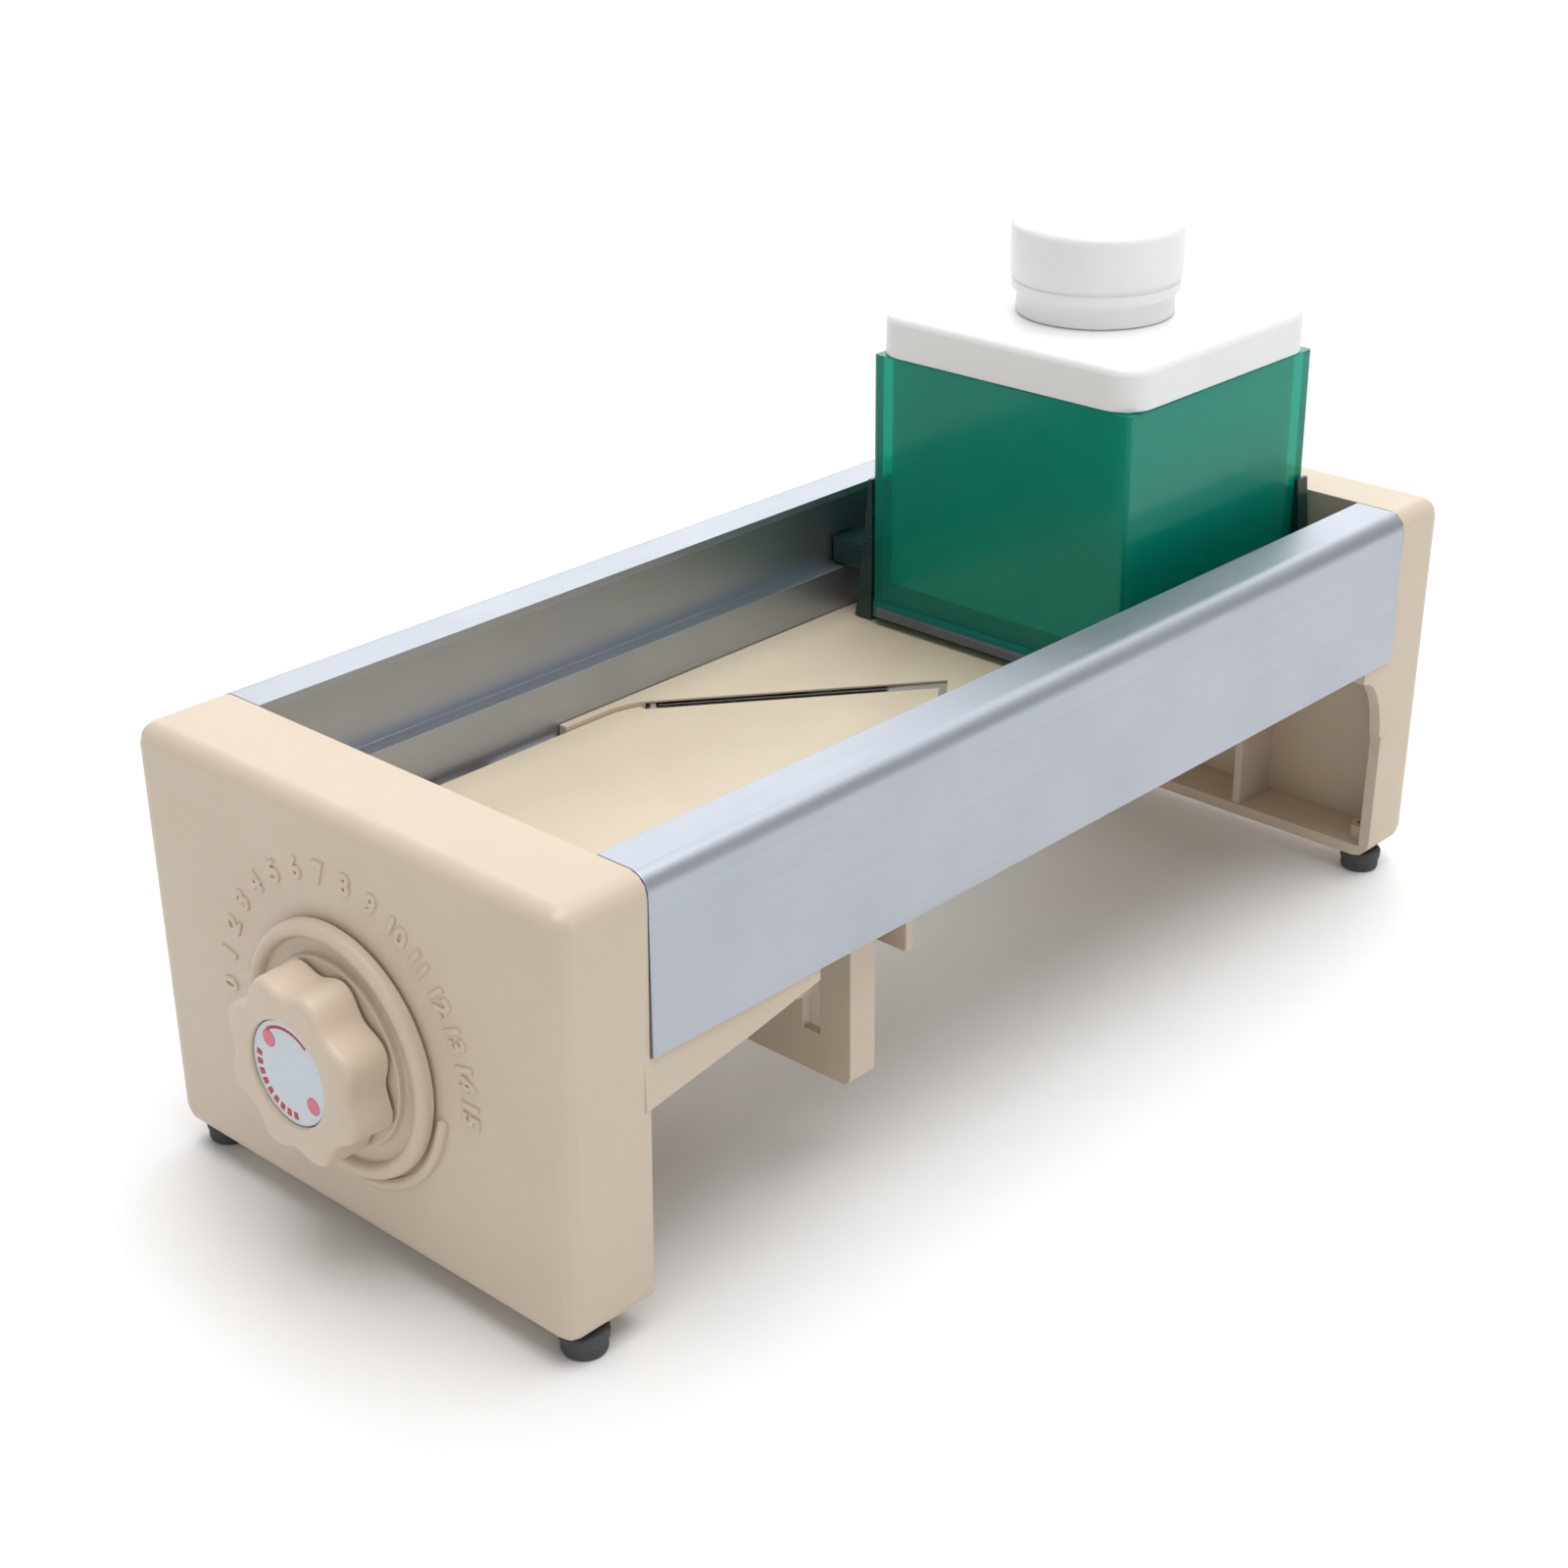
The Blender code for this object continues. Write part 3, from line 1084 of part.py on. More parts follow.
PUSHER_HALF_X = BOX_HALF_WIDTH - BOX_WALL - FIT
PUSHER_HALF_Y = BOX_LENGTH / 2 - BOX_WALL - FIT
PUSHER_TOP = CAP_TOP + PUSHER_RISE
PUSHER_BOTTOM = BOX_BOTTOM + PUSHER_LIFT_ROOM
PLATE_HALF_X = PUSHER_HALF_X - PUSHER_WALL - GAP
PLATE_HALF_Y = PUSHER_HALF_Y - PUSHER_WALL - GAP
PRONG_X = PLATE_HALF_X - PRONG_INSET_X
PRONG_Y = PLATE_HALF_Y - PRONG_INSET_Y


def pusher_block():
    """A lid that rests on the box's rim, with a hollow plunger that fills the box."""
    lid = rounded_square(BOX_HALF_WIDTH, BOX_LENGTH / 2, LID_CORNER, BOX_MIDDLE)
    lid_low = BOX_TOP + GAP
    body = outline("pusher_block", [lid], PUSHER_TOP - lid_low, level(lid_low, PUSHER_TOP), WHITE)
    bm = bmesh.new()
    bm.from_mesh(body.data)
    rim = [e for e in bm.edges if all(abs(v.co.z - PUSHER_TOP) < GAP / 10 for v in e.verts)
           and len(e.link_faces) == 2 and e.calc_face_angle() > 1]
    bmesh.ops.bevel(bm, geom=rim, offset=0.0025, segments=3, profile=0.5, affect="EDGES", material=-1)
    bm.to_mesh(body.data)
    bm.free()
    plunger = rounded_square(PUSHER_HALF_X, PUSHER_HALF_Y, PLUNGER_CORNER, BOX_MIDDLE)
    hollow = rounded_square(PUSHER_HALF_X - PUSHER_WALL, PUSHER_HALF_Y - PUSHER_WALL,
                            PLUNGER_CORNER - PUSHER_WALL, BOX_MIDDLE)
    room_top = PUSHER_TOP - PUSHER_WALL
    join(body, outline("plunger", [plunger], lid_low + 0.001 - PUSHER_BOTTOM,
                       level(PUSHER_BOTTOM, lid_low + 0.001)))
    cut(body, outline("pusher_room", [hollow], room_top - PUSHER_BOTTOM + PUSHER_WALL,
                      level(PUSHER_BOTTOM - PUSHER_WALL, room_top)))
    for side in (-1, 1):
        post = rod(f"prong_post_{side}", "Z", (side * PRONG_X, BOX_MIDDLE, PUSHER_BOTTOM + 0.0035),
                   PUSHER_TOP - PUSHER_WALL / 2 - PUSHER_BOTTOM - 0.0035, 0.004)
        join(body, post)
    for side in (-1, 1):
        thread_start = (side * PRONG_X, BOX_MIDDLE, PUSHER_BOTTOM - 0.001)
        thread = rod(f"prong_thread_{side}", "Z", thread_start, 0.020, SCREW_RADIUS + GAP)
        cut(body, thread)
    cut(body, rod("pusher_bore", "Z", (0, BOX_MIDDLE, PUSHER_TOP - 0.01), 0.02, SCREW_RADIUS + GAP))
    smooth(body)
    return body


def prong_plate():
    """Plate in the pusher's mouth with prongs that grip the food."""
    top = PUSHER_BOTTOM + 0.003
    low = PUSHER_BOTTOM + 0.0005
    shape = rounded_square(PLATE_HALF_X, PLATE_HALF_Y, PLUNGER_CORNER - PUSHER_WALL - GAP, BOX_MIDDLE)
    plate = outline("prong_plate", [shape], top - low, level(low, top), WHITE)
    for i in range(4):
        for j in range(4):
            place = ((i / 1.5 - 1) * PRONG_X, BOX_MIDDLE + (j / 1.5 - 1) * PRONG_Y, low - PRONG_LENGTH)
            prong = rod(f"prong_{i}_{j}", "Z", place, PRONG_LENGTH + 0.001, 0.0004,
                        end_radius=0.0022, segments=8)
            join(plate, prong)
    for side in (-1, 1):
        hole = rod(f"plate_hole_{side}", "Z", (side * PRONG_X, BOX_MIDDLE, low - 0.002), 0.007,
                   SCREW_RADIUS + GAP)
        cut(plate, hole)
    head_z = low - GAP - SCREW_HEAD_HEIGHT
    for hand, side in (("left", -1), ("right", 1)):
        screw_shape(f"prong_screw_{hand}", (side * PRONG_X, BOX_MIDDLE, head_z), 0.010)
    return plate


def pusher_knob():
    top = CAP_TOP + PUSHER_KNOB_TOP
    low = PUSHER_TOP + GAP
    side_low = top - PUSHER_KNOB_SIDE
    r = PUSHER_KNOB_RADIUS
    edge = 0.0026
    profile = [(0, top), (r * 0.6, top - 0.0001)]
    profile += [(a, b) for a, b in arc((r - edge, top - edge - 0.0004), edge, 90, 0, 3)]
    profile += [(r, side_low), (r - 0.0006, side_low - 0.0006), (r - 0.0006, side_low - 0.0022),
                (r - 0.0022, side_low - 0.0030), (r - 0.0022, low), (SCREW_RADIUS + GAP, low),
                (SCREW_RADIUS + GAP, low + 0.012), (0, low + 0.012)]
    return turned("pusher_knob", "Z", (0, BOX_MIDDLE, 0), profile, WHITE, steps=40)


def pusher_screw():
    under = PUSHER_TOP - PUSHER_WALL - GAP - SCREW_HEAD_HEIGHT
    return screw_shape("pusher_screw", (0, BOX_MIDDLE, under), PUSHER_WALL + 0.011)


# ---- moving groups ---------------------------------------------------------------------------
GROUPS = {
    "dial": ((0, FRONT, DIAL_Z), ("dial_disc", "dial_knob", "dial_label", "knob_screw",
                                  "adjusting_shaft", "cam_front", "cam_rear", "shaft_clip")),
    "table": ((0, FRONT + BRIDGE_FRONT, TABLE_TOP), ("thickness_table", "lift_pad_front",
                                                     "lift_pad_rear", "guide_pin_left",
                                                     "guide_pin_right")),
    "carriage": ((0, BOX_MIDDLE, DECK_TOP), ("carriage_box", "runner_left", "runner_right")),
    "pusher": ((0, BOX_MIDDLE, PUSHER_TOP), ("pusher_block", "pusher_knob", "pusher_screw",
                                             "prong_plate", "prong_screw_left", "prong_screw_right")),
}


def group_moving_pieces():
    for name, (place, members) in GROUPS.items():
        joint = bpy.data.objects.new(name + "_joint", None)
        joint.location = place
        PARTS.objects.link(joint)
        bpy.context.view_layer.update()
        for member in members:
            piece = bpy.data.objects[member]
            piece.parent = joint
            piece.matrix_parent_inverse = joint.matrix_world.inverted()
    bpy.data.objects["pusher_joint"].parent = bpy.data.objects["carriage_joint"]
    inverse = bpy.data.objects["carriage_joint"].matrix_world.inverted()
    bpy.data.objects["pusher_joint"].matrix_parent_inverse = inverse


def build():
    front_cap()
    rear_cap()
    feet()
    rails()
    rail_screws()
    rear_deck()
    blade_holder()
    blades()
    thickness_table()
    guide_pins()
    bridge()
    dial_disc()
    dial_knob()
    dial_label()
    knob_screw()
    adjusting_shaft()
    shaft_clip()
    bushes()
    cam("cam_front", FRONT_CAM_Y)
    cam("cam_rear", REAR_CAM_Y)
    lift_pads()
    detent()
    carriage_box()
    runners()
    pusher_block()
    prong_plate()
    pusher_knob()
    pusher_screw()
    group_moving_pieces()


build()
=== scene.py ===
import json
import math

import bmesh
import bpy
from mathutils import Matrix, Vector

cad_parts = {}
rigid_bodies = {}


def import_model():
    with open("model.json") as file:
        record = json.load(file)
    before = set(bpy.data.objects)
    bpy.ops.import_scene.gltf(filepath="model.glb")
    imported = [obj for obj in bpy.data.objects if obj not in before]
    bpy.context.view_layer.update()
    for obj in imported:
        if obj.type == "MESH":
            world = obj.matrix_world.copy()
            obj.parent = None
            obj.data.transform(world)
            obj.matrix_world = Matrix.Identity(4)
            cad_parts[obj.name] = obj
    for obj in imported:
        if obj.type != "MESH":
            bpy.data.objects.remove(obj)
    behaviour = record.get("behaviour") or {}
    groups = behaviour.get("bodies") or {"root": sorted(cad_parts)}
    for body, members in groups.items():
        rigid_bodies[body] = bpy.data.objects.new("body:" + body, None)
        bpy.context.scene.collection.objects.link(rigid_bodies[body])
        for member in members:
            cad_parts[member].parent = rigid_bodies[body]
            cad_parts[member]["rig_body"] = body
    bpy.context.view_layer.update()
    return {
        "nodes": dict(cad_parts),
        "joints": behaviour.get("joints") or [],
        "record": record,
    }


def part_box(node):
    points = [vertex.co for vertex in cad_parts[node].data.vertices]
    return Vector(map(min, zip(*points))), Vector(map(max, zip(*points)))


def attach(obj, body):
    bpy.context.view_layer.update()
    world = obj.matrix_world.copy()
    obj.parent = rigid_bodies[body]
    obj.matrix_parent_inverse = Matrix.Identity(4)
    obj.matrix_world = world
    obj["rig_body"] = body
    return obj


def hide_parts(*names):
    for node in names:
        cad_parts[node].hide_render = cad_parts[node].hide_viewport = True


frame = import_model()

# Looks of the mandoline slicer: the frame's pieces get rounded edges and finishes, and
# the dial, the knobs and the feet are turned afresh with finer shapes.
# Metres, +Z up, and the dial faces -Y.

NODES = frame["nodes"]
SLOTS = {part["node"]: part["material_slot"] for part in frame["record"]["subparts"]}

# ---- sizes -------------------------------------------------------------------------
EDGE_ROUNDING = 0.0004
FLAT_ANGLE = math.radians(0.6)       # faces nearer than this to one plane are merged
SHARP_ANGLE = math.radians(32)
JOIN_DISTANCE = 0.000004
ROUND_STEPS = 120

DIAL_AXIS = Vector(next(j for j in frame["joints"] if j["name"] == "dial_turn")["pos_m"])
SETTING_NOW = 1.5
LAST_SETTING = 15
BAND_RISE = 0.0012                   # the raised band is the cap node's foremost face
CAP_FACE_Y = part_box("front_cap")[0][1] + BAND_RISE
NUMERAL_RING = 0.0498                # radius of the ring of settings on the front cap
NUMERAL_SIZE = 0.0084
NUMERAL_RELIEF = 0.0006
NUMERAL_WEIGHT = 0.00016
KNOB_LOBES = 8
LOBE_HEIGHT = 0.0017
LOBE_TURN = math.radians(23)         # from +X round to the first lobe
POINTER_RADIUS = 0.0021              # the nub on the disc's bead that points at the setting
LABEL_GAP = 0.0003                   # round the label in the grip's dish

SIDES = (("left", -1), ("right", 1))
ENDS = ("front", "rear")


# ---- mesh tools --------------------------------------------------------------------
def finish_mesh(name, bm, body, material, replaced=()):
    """Makes a piece of the bmesh, shades it smooth between its sharp edges and hangs it
    on its body."""
    bmesh.ops.recalc_face_normals(bm, faces=bm.faces)
    mesh = bpy.data.meshes.new(name)
    bm.to_mesh(mesh)
    bm.free()
    piece = bpy.data.objects.new(name, mesh)
    bpy.context.scene.collection.objects.link(piece)
    mesh.shade_smooth()
    mesh.set_sharp_from_angle(angle=SHARP_ANGLE)
    mesh.materials.append(material)
    if replaced:
        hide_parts(*replaced)
    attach(piece, body)
    return piece


def body_of(node):
    return NODES[node]["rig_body"]


def slot_of(node):
    return SLOTS[node]


def merged_copy(node):
    """The node's surface as a bmesh, with its loose triangles joined into flat faces."""
    bm = bmesh.new()
    bm.from_mesh(NODES[node].data)
    bmesh.ops.remove_doubles(bm, verts=bm.verts, dist=JOIN_DISTANCE)
    bmesh.ops.dissolve_degenerate(bm, dist=JOIN_DISTANCE, edges=bm.edges)
    bmesh.ops.dissolve_limit(bm, angle_limit=FLAT_ANGLE, verts=bm.verts, edges=bm.edges)
    return bm


def refined(node, material, rounding=EDGE_ROUNDING):
    """A smooth copy of a node that stands for it, with its sharp edges rounded."""
    piece = finish_mesh(node + "_body", merged_copy(node), body_of(node),
                        material, (node,))
    if rounding:
        bevel = piece.modifiers.new("rounded edges", "BEVEL")
        bevel.width = rounding
        bevel.segments = 2
        bevel.limit_method = "ANGLE"
        bevel.angle_limit = SHARP_ANGLE
        bevel.miter_outer = "MITER_ARC"
        bevel.use_clamp_overlap = True
    weighted = piece.modifiers.new("even shading", "WEIGHTED_NORMAL")
    weighted.keep_sharp = True
    return piece


def turned(profile, axis, origin, steps=ROUND_STEPS):
    """A closed turned shape from (radius, along) points; `axis` is "Y" or "Z"."""
    along = Vector((0, 1, 0)) if axis == "Y" else Vector((0, 0, 1))
    out = Vector((1, 0, 0))
    bm = bmesh.new()
    line = [bm.verts.new(Vector(origin) + out * r + along * a) for r, a in profile]
    edges = [bm.edges.new(pair) for pair in zip(line, line[1:])]
    if profile[0][0] > JOIN_DISTANCE:
        edges.append(bm.edges.new((line[-1], line[0])))
    bmesh.ops.spin(bm, geom=line + edges, cent=origin, axis=along, angle=2 * math.pi,
                   steps=steps, use_merge=True)
    bmesh.ops.remove_doubles(bm, verts=bm.verts, dist=JOIN_DISTANCE)
    return bm


def arc(middle, radius, start, end, count):
    """Points of an arc, in degrees."""
    angles = [math.radians(start + (end - start) * i / count) for i in range(count + 1)]
    return [(middle[0] + radius * math.cos(a), middle[1] + radius * math.sin(a)) for a in angles]


# ---- node tools --------------------------------------------------------------------
def node(tree, kind, inputs=None, **settings):
    """Adds a shader node; an input is a plain value or another node's output."""
    made = tree.nodes.new("ShaderNode" + kind)
    for key, value in settings.items():
        setattr(made, key, value)
    for key, value in (inputs or {}).items():
        if isinstance(value, bpy.types.NodeSocket):
            tree.links.new(value, made.inputs[key])
        else:
            made.inputs[key].default_value = value
    return made


def mix_colour(tree, factor, first, second):
    mix = node(tree, "Mix", data_type="RGBA")
    for socket, value in ((mix.inputs[0], factor), (mix.inputs[6], first), (mix.inputs[7], second)):
        if isinstance(value, bpy.types.NodeSocket):
            tree.links.new(value, socket)
        else:
            socket.default_value = value
    return mix.outputs[2]


def stretched(tree, scale):
    """Object coordinates scaled by axis, so that a pattern can run along one of them."""
    place = node(tree, "TexCoord")
    return node(tree, "Mapping", {"Vector": place.outputs["Object"], "Scale": scale}).outputs[0]


def ramp(tree, value, low, high, out_low=0.0, out_high=1.0):
    spread = node(tree, "MapRange", {"Value": value, "From Min": low, "From Max": high,
                                     "To Min": out_low, "To Max": out_high})
    return spread.outputs["Result"]


def new_group(name, sockets_in, sockets_out):
    """A shader node group from (name, kind, value) inputs and (name, kind) outputs."""
    tree = bpy.data.node_groups.new(name, "ShaderNodeTree")
    for label, kind, value in sockets_in:
        tree.interface.new_socket(label, in_out="INPUT", socket_type=kind).default_value = value
    for label, kind in sockets_out:
        tree.interface.new_socket(label, in_out="OUTPUT", socket_type=kind)
    return tree, node_in(tree), tree.nodes.new("NodeGroupOutput")


def node_in(tree):
    return tree.nodes.new("NodeGroupInput").outputs


FLOAT, COLOUR, VECTOR = "NodeSocketFloat", "NodeSocketColor", "NodeSocketVector"


def moulded_group():
    """Moulded plastic: a fine spark-eroded grain, faint flow clouds, edges that handling has
    polished, and a painted highlight that pales the rounded edges."""
    tree, given, out = new_group("moulded surface", (
        ("Colour", COLOUR, (0.8, 0.8, 0.8, 1)), ("Shade", COLOUR, (0.7, 0.7, 0.7, 1)),
        ("Grain Size", FLOAT, 2200.0), ("Grain Depth", FLOAT, 0.12),
        ("Roughness", FLOAT, 0.45), ("Edge Radius", FLOAT, 0.0006), ("Edge Wear", FLOAT, 0.25)),
        (("Colour", COLOUR), ("Roughness", FLOAT), ("Normal", VECTOR)))
    place = node(tree, "TexCoord").outputs["Object"]
    clouds = node(tree, "TexNoise", {"Vector": place, "Scale": 26.0, "Detail": 4.0,
                                     "Roughness": 0.6})
    flecks = node(tree, "TexNoise", {"Vector": place, "Scale": 900.0, "Detail": 2.0})
    grain = node(tree, "TexNoise", {"Vector": place, "Scale": given["Grain Size"], "Detail": 3.0})
    scuffs = node(tree, "TexNoise", {"Vector": stretched(tree, (60, 60, 340)), "Scale": 1.0,
                                     "Detail": 6.0, "Roughness": 0.7})
    rounded = node(tree, "Bevel", {"Radius": given["Edge Radius"]}, samples=4)
    flat = node(tree, "NewGeometry").outputs["True Normal"]
    facing = node(tree, "VectorMath", {0: rounded.outputs[0], 1: flat}, operation="DOT_PRODUCT")
    edge = ramp(tree, facing.outputs["Value"], 0.995, 0.80)
    edge_highlight_and_polish = node(tree, "Math", {0: edge, 1: given["Edge Wear"]}, operation="MULTIPLY").outputs[0]
    tone = node(tree, "Math", {0: ramp(tree, clouds.outputs["Fac"], 0.35, 0.68),
                               1: ramp(tree, flecks.outputs["Fac"], 0.3, 0.7, 0.0, 0.35)},
                operation="ADD", use_clamp=True).outputs[0]
    body = mix_colour(tree, ramp(tree, tone, 0.0, 1.0, 0.0, 0.55), given["Colour"], given["Shade"])
    # painted highlight: the rounded edges are mixed towards a pale cream (0.90, 0.88, 0.84),
    # standing in for light caught on them; the same edge mask also lowers the roughness as polish
    edge_highlit_colour = mix_colour(tree, edge_highlight_and_polish, body, (0.90, 0.88, 0.84, 1))
    rough = node(tree, "Math", {0: ramp(tree, scuffs.outputs["Fac"], 0.3, 0.7, -0.05, 0.09),
                                1: given["Roughness"]}, operation="ADD")
    polished = node(tree, "Math", {0: edge_highlight_and_polish, 1: -0.15, 2: rough.outputs[0]},
                    operation="MULTIPLY_ADD")
    relief = node(tree, "Bump", {"Strength": given["Grain Depth"], "Distance": 0.0002,
                                 "Height": grain.outputs["Fac"], "Normal": rounded.outputs[0]})
    tree.links.new(edge_highlit_colour, out.inputs["Colour"])
    tree.links.new(polished.outputs[0], out.inputs["Roughness"])
    tree.links.new(relief.outputs[0], out.inputs["Normal"])
    return tree


def drawn_metal_group():
    """Drawn, ground or brushed metal: fine lines along one axis, with faint stains."""
    tree, given, out = new_group("drawn metal", (
        ("Colour", COLOUR, (0.6, 0.6, 0.6, 1)), ("Shade", COLOUR, (0.4, 0.4, 0.4, 1)),
        ("Line Scale", VECTOR, (2600, 6, 2600)), ("Line Depth", FLOAT, 0.1),
        ("Roughness", FLOAT, 0.3), ("Edge Radius", FLOAT, 0.0004)),
        (("Colour", COLOUR), ("Roughness", FLOAT), ("Normal", VECTOR)))
    place = node(tree, "TexCoord").outputs["Object"]
    along = node(tree, "VectorMath", {0: place, 1: given["Line Scale"]}, operation="MULTIPLY")
    lines = node(tree, "TexNoise", {"Vector": along.outputs[0], "Scale": 1.0, "Detail": 5.0,
                                    "Roughness": 0.65})
    stains = node(tree, "TexNoise", {"Vector": place, "Scale": 22.0, "Detail": 5.0,
                                     "Roughness": 0.6})
    rounded = node(tree, "Bevel", {"Radius": given["Edge Radius"]}, samples=4)
    tone = node(tree, "Math", {0: ramp(tree, lines.outputs["Fac"], 0.3, 0.7, 0.0, 0.6),
                               1: ramp(tree, stains.outputs["Fac"], 0.4, 0.7, 0.0, 0.4)},
                operation="ADD", use_clamp=True).outputs[0]
    body = mix_colour(tree, tone, given["Colour"], given["Shade"])
    rough = node(tree, "Math", {0: ramp(tree, tone, 0.0, 1.0, -0.05, 0.08),
                                1: given["Roughness"]}, operation="ADD")
    relief = node(tree, "Bump", {"Strength": given["Line Depth"], "Distance": 0.0001,
                                 "Height": lines.outputs["Fac"], "Normal": rounded.outputs[0]})
    tree.links.new(body, out.inputs["Colour"])
    tree.links.new(rough.outputs[0], out.inputs["Roughness"])
    tree.links.new(relief.outputs[0], out.inputs["Normal"])
    return tree


def new_material(name, group, values, **shader_values):
    """A material whose surface comes from a group; the shader's own values stay plain."""
    material = bpy.data.materials.new(name)
    material.use_nodes = True
    tree = material.node_tree
    shader = tree.nodes["Principled BSDF"]
    surface = tree.nodes.new("ShaderNodeGroup")
    surface.node_tree = group
    for key, value in values.items():
        surface.inputs[key].default_value = value
    tree.links.new(surface.outputs["Colour"], shader.inputs["Base Color"])
    tree.links.new(surface.outputs["Roughness"], shader.inputs["Roughness"])
    tree.links.new(surface.outputs["Normal"], shader.inputs["Normal"])
    for key, value in shader_values.items():
        shader.inputs[key.replace("_", " ")].default_value = value
    return material


MOULDED = moulded_group()
DRAWN = drawn_metal_group()


def surface_values(colour, shade, values):
    """The group inputs of a finish, from its two colours and its own named values."""
    settings = {"Colour": (*colour, 1), "Shade": (*shade, 1)}
    settings.update({key.replace("_", " "): value for key, value in values.items()})
    return settings


def plastic(name, colour, shade, **values):
    return new_material(name, MOULDED, surface_values(colour, shade, values))


def metal(name, colour, shade, **values):
    return new_material(name, DRAWN, surface_values(colour, shade, values), Metallic=1.0)


BEIGE = plastic("beige moulding", (0.65, 0.545, 0.425), (0.61, 0.505, 0.385), Roughness=0.42)
DECK_BEIGE = plastic("deck moulding", (0.68, 0.58, 0.44), (0.62, 0.525, 0.39), Roughness=0.38,
                     Grain_Size=1500.0)
WHITE = plastic("white moulding", (0.90, 0.905, 0.905), (0.86, 0.87, 0.875), Roughness=0.36,
                Grain_Depth=0.06)
RUNNER_GREEN = plastic("runner green", (0.012, 0.045, 0.040), (0.008, 0.030, 0.028),
                       Roughness=0.22, Edge_Wear=0.02, Grain_Depth=0.03)
RUBBER = plastic("foot rubber", (0.075, 0.08, 0.085), (0.045, 0.048, 0.05), Roughness=0.75,
                 Edge_Wear=0.08, Grain_Depth=0.3)
RAIL = metal("satin anodised aluminium", (0.48, 0.51, 0.565), (0.455, 0.485, 0.54), Roughness=0.46,
             Line_Depth=0.02)
GROUND = metal("ground blade steel", (0.30, 0.29, 0.28), (0.20, 0.19, 0.19), Roughness=0.30,
               Line_Scale=(900, 900, 30))
PLATED = metal("plated steel", (0.60, 0.61, 0.63), (0.45, 0.46, 0.48), Roughness=0.22,
               Line_Scale=(300, 300, 300))
BRONZE = metal("bush bronze", (0.50, 0.32, 0.14), (0.38, 0.23, 0.10), Roughness=0.34,
               Line_Scale=(200, 3000, 200))
PRINT_RED = plastic("red print", (0.55, 0.012, 0.030), (0.48, 0.010, 0.025), Roughness=0.35,
                    Grain_Depth=0.02, Edge_Wear=0.0)
PRINT_PINK = plastic("pink print", (0.72, 0.16, 0.22), (0.65, 0.13, 0.19), Roughness=0.35,
                     Grain_Depth=0.02, Edge_Wear=0.0)
LABEL_FOIL = plastic("label foil", (0.60, 0.66, 0.71), (0.56, 0.62, 0.68), Roughness=0.22,
                     Grain_Depth=0.03, Edge_Wear=0.0)
SMOKED = plastic("smoked edge", (0.12, 0.13, 0.17), (0.08, 0.09, 0.12), Roughness=0.18,
                 Grain_Depth=0.02, Edge_Wear=0.1)
FLOOR_WHITE = plastic("floor", (0.90, 0.90, 0.90), (0.88, 0.88, 0.88), Roughness=0.6,
                      Grain_Size=40.0, Grain_Depth=0.02, Edge_Wear=0.0)
CLEAR_GREEN = plastic("clear green", (0.010, 0.62, 0.48), (0.008, 0.57, 0.44), Roughness=0.12,
                      Grain_Depth=0.01, Edge_Wear=0.0)
for socket_name, amount in (("Transmission Weight", 0.8), ("IOR", 1.33),
                            ("Specular IOR Level", 0.18)):
    CLEAR_GREEN.node_tree.nodes["Principled BSDF"].inputs[socket_name].default_value = amount


# ---- pieces ------------------------------------------------------------------------
def size_of(node):
    """Middle, lowest and highest corner of a node."""
    low, high = Vector(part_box(node)[0]), Vector(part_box(node)[1])
    return (low + high) / 2, low, high


def beige_bodies():
    for name in ("front_cap", "rear_cap", "blade_bridge"):
        refined(name, BEIGE)
    for name in ("rear_deck", "thickness_table"):
        refined(name, DECK_BEIGE, rounding=0.0002)


def metal_bodies():
    for hand, _ in SIDES:
        refined("rail_" + hand, RAIL, rounding=0.0003)
        refined("blade_" + hand, GROUND, rounding=0)


def cap_numerals():
    """Raised settings round the dial, from 0 at the left clockwise to 15 at the right."""
    bm = bmesh.new()
    for setting in range(LAST_SETTING + 1):
        angle = math.pi * (1 - setting / LAST_SETTING)
        curve = bpy.data.curves.new("numeral", "FONT")
        curve.body = str(setting)
        curve.size = NUMERAL_SIZE
        curve.align_x, curve.align_y = "CENTER", "CENTER"
        curve.resolution_u = 4
        curve.extrude = NUMERAL_RELIEF * 0.6
        curve.bevel_depth = NUMERAL_RELIEF * 0.4
        curve.bevel_resolution = 1
        curve.offset = NUMERAL_WEIGHT
        text = bpy.data.objects.new("numeral", curve)
        mesh = bpy.data.meshes.new_from_object(text)
        spot = (NUMERAL_RING * math.cos(angle), NUMERAL_RING * math.sin(angle), 0)
        mesh.transform(Matrix.Translation((DIAL_AXIS.x, CAP_FACE_Y, DIAL_AXIS.z))
                       @ Matrix.Rotation(math.pi / 2, 4, "X") @ Matrix.Translation(spot)
                       @ Matrix.Rotation(angle - math.pi / 2, 4, "Z"))
        bm.from_mesh(mesh)
        bpy.data.objects.remove(text)
    bmesh.ops.remove_doubles(bm, verts=bm.verts, dist=JOIN_DISTANCE)
    return finish_mesh("cap_numerals", bm, "base", BEIGE)


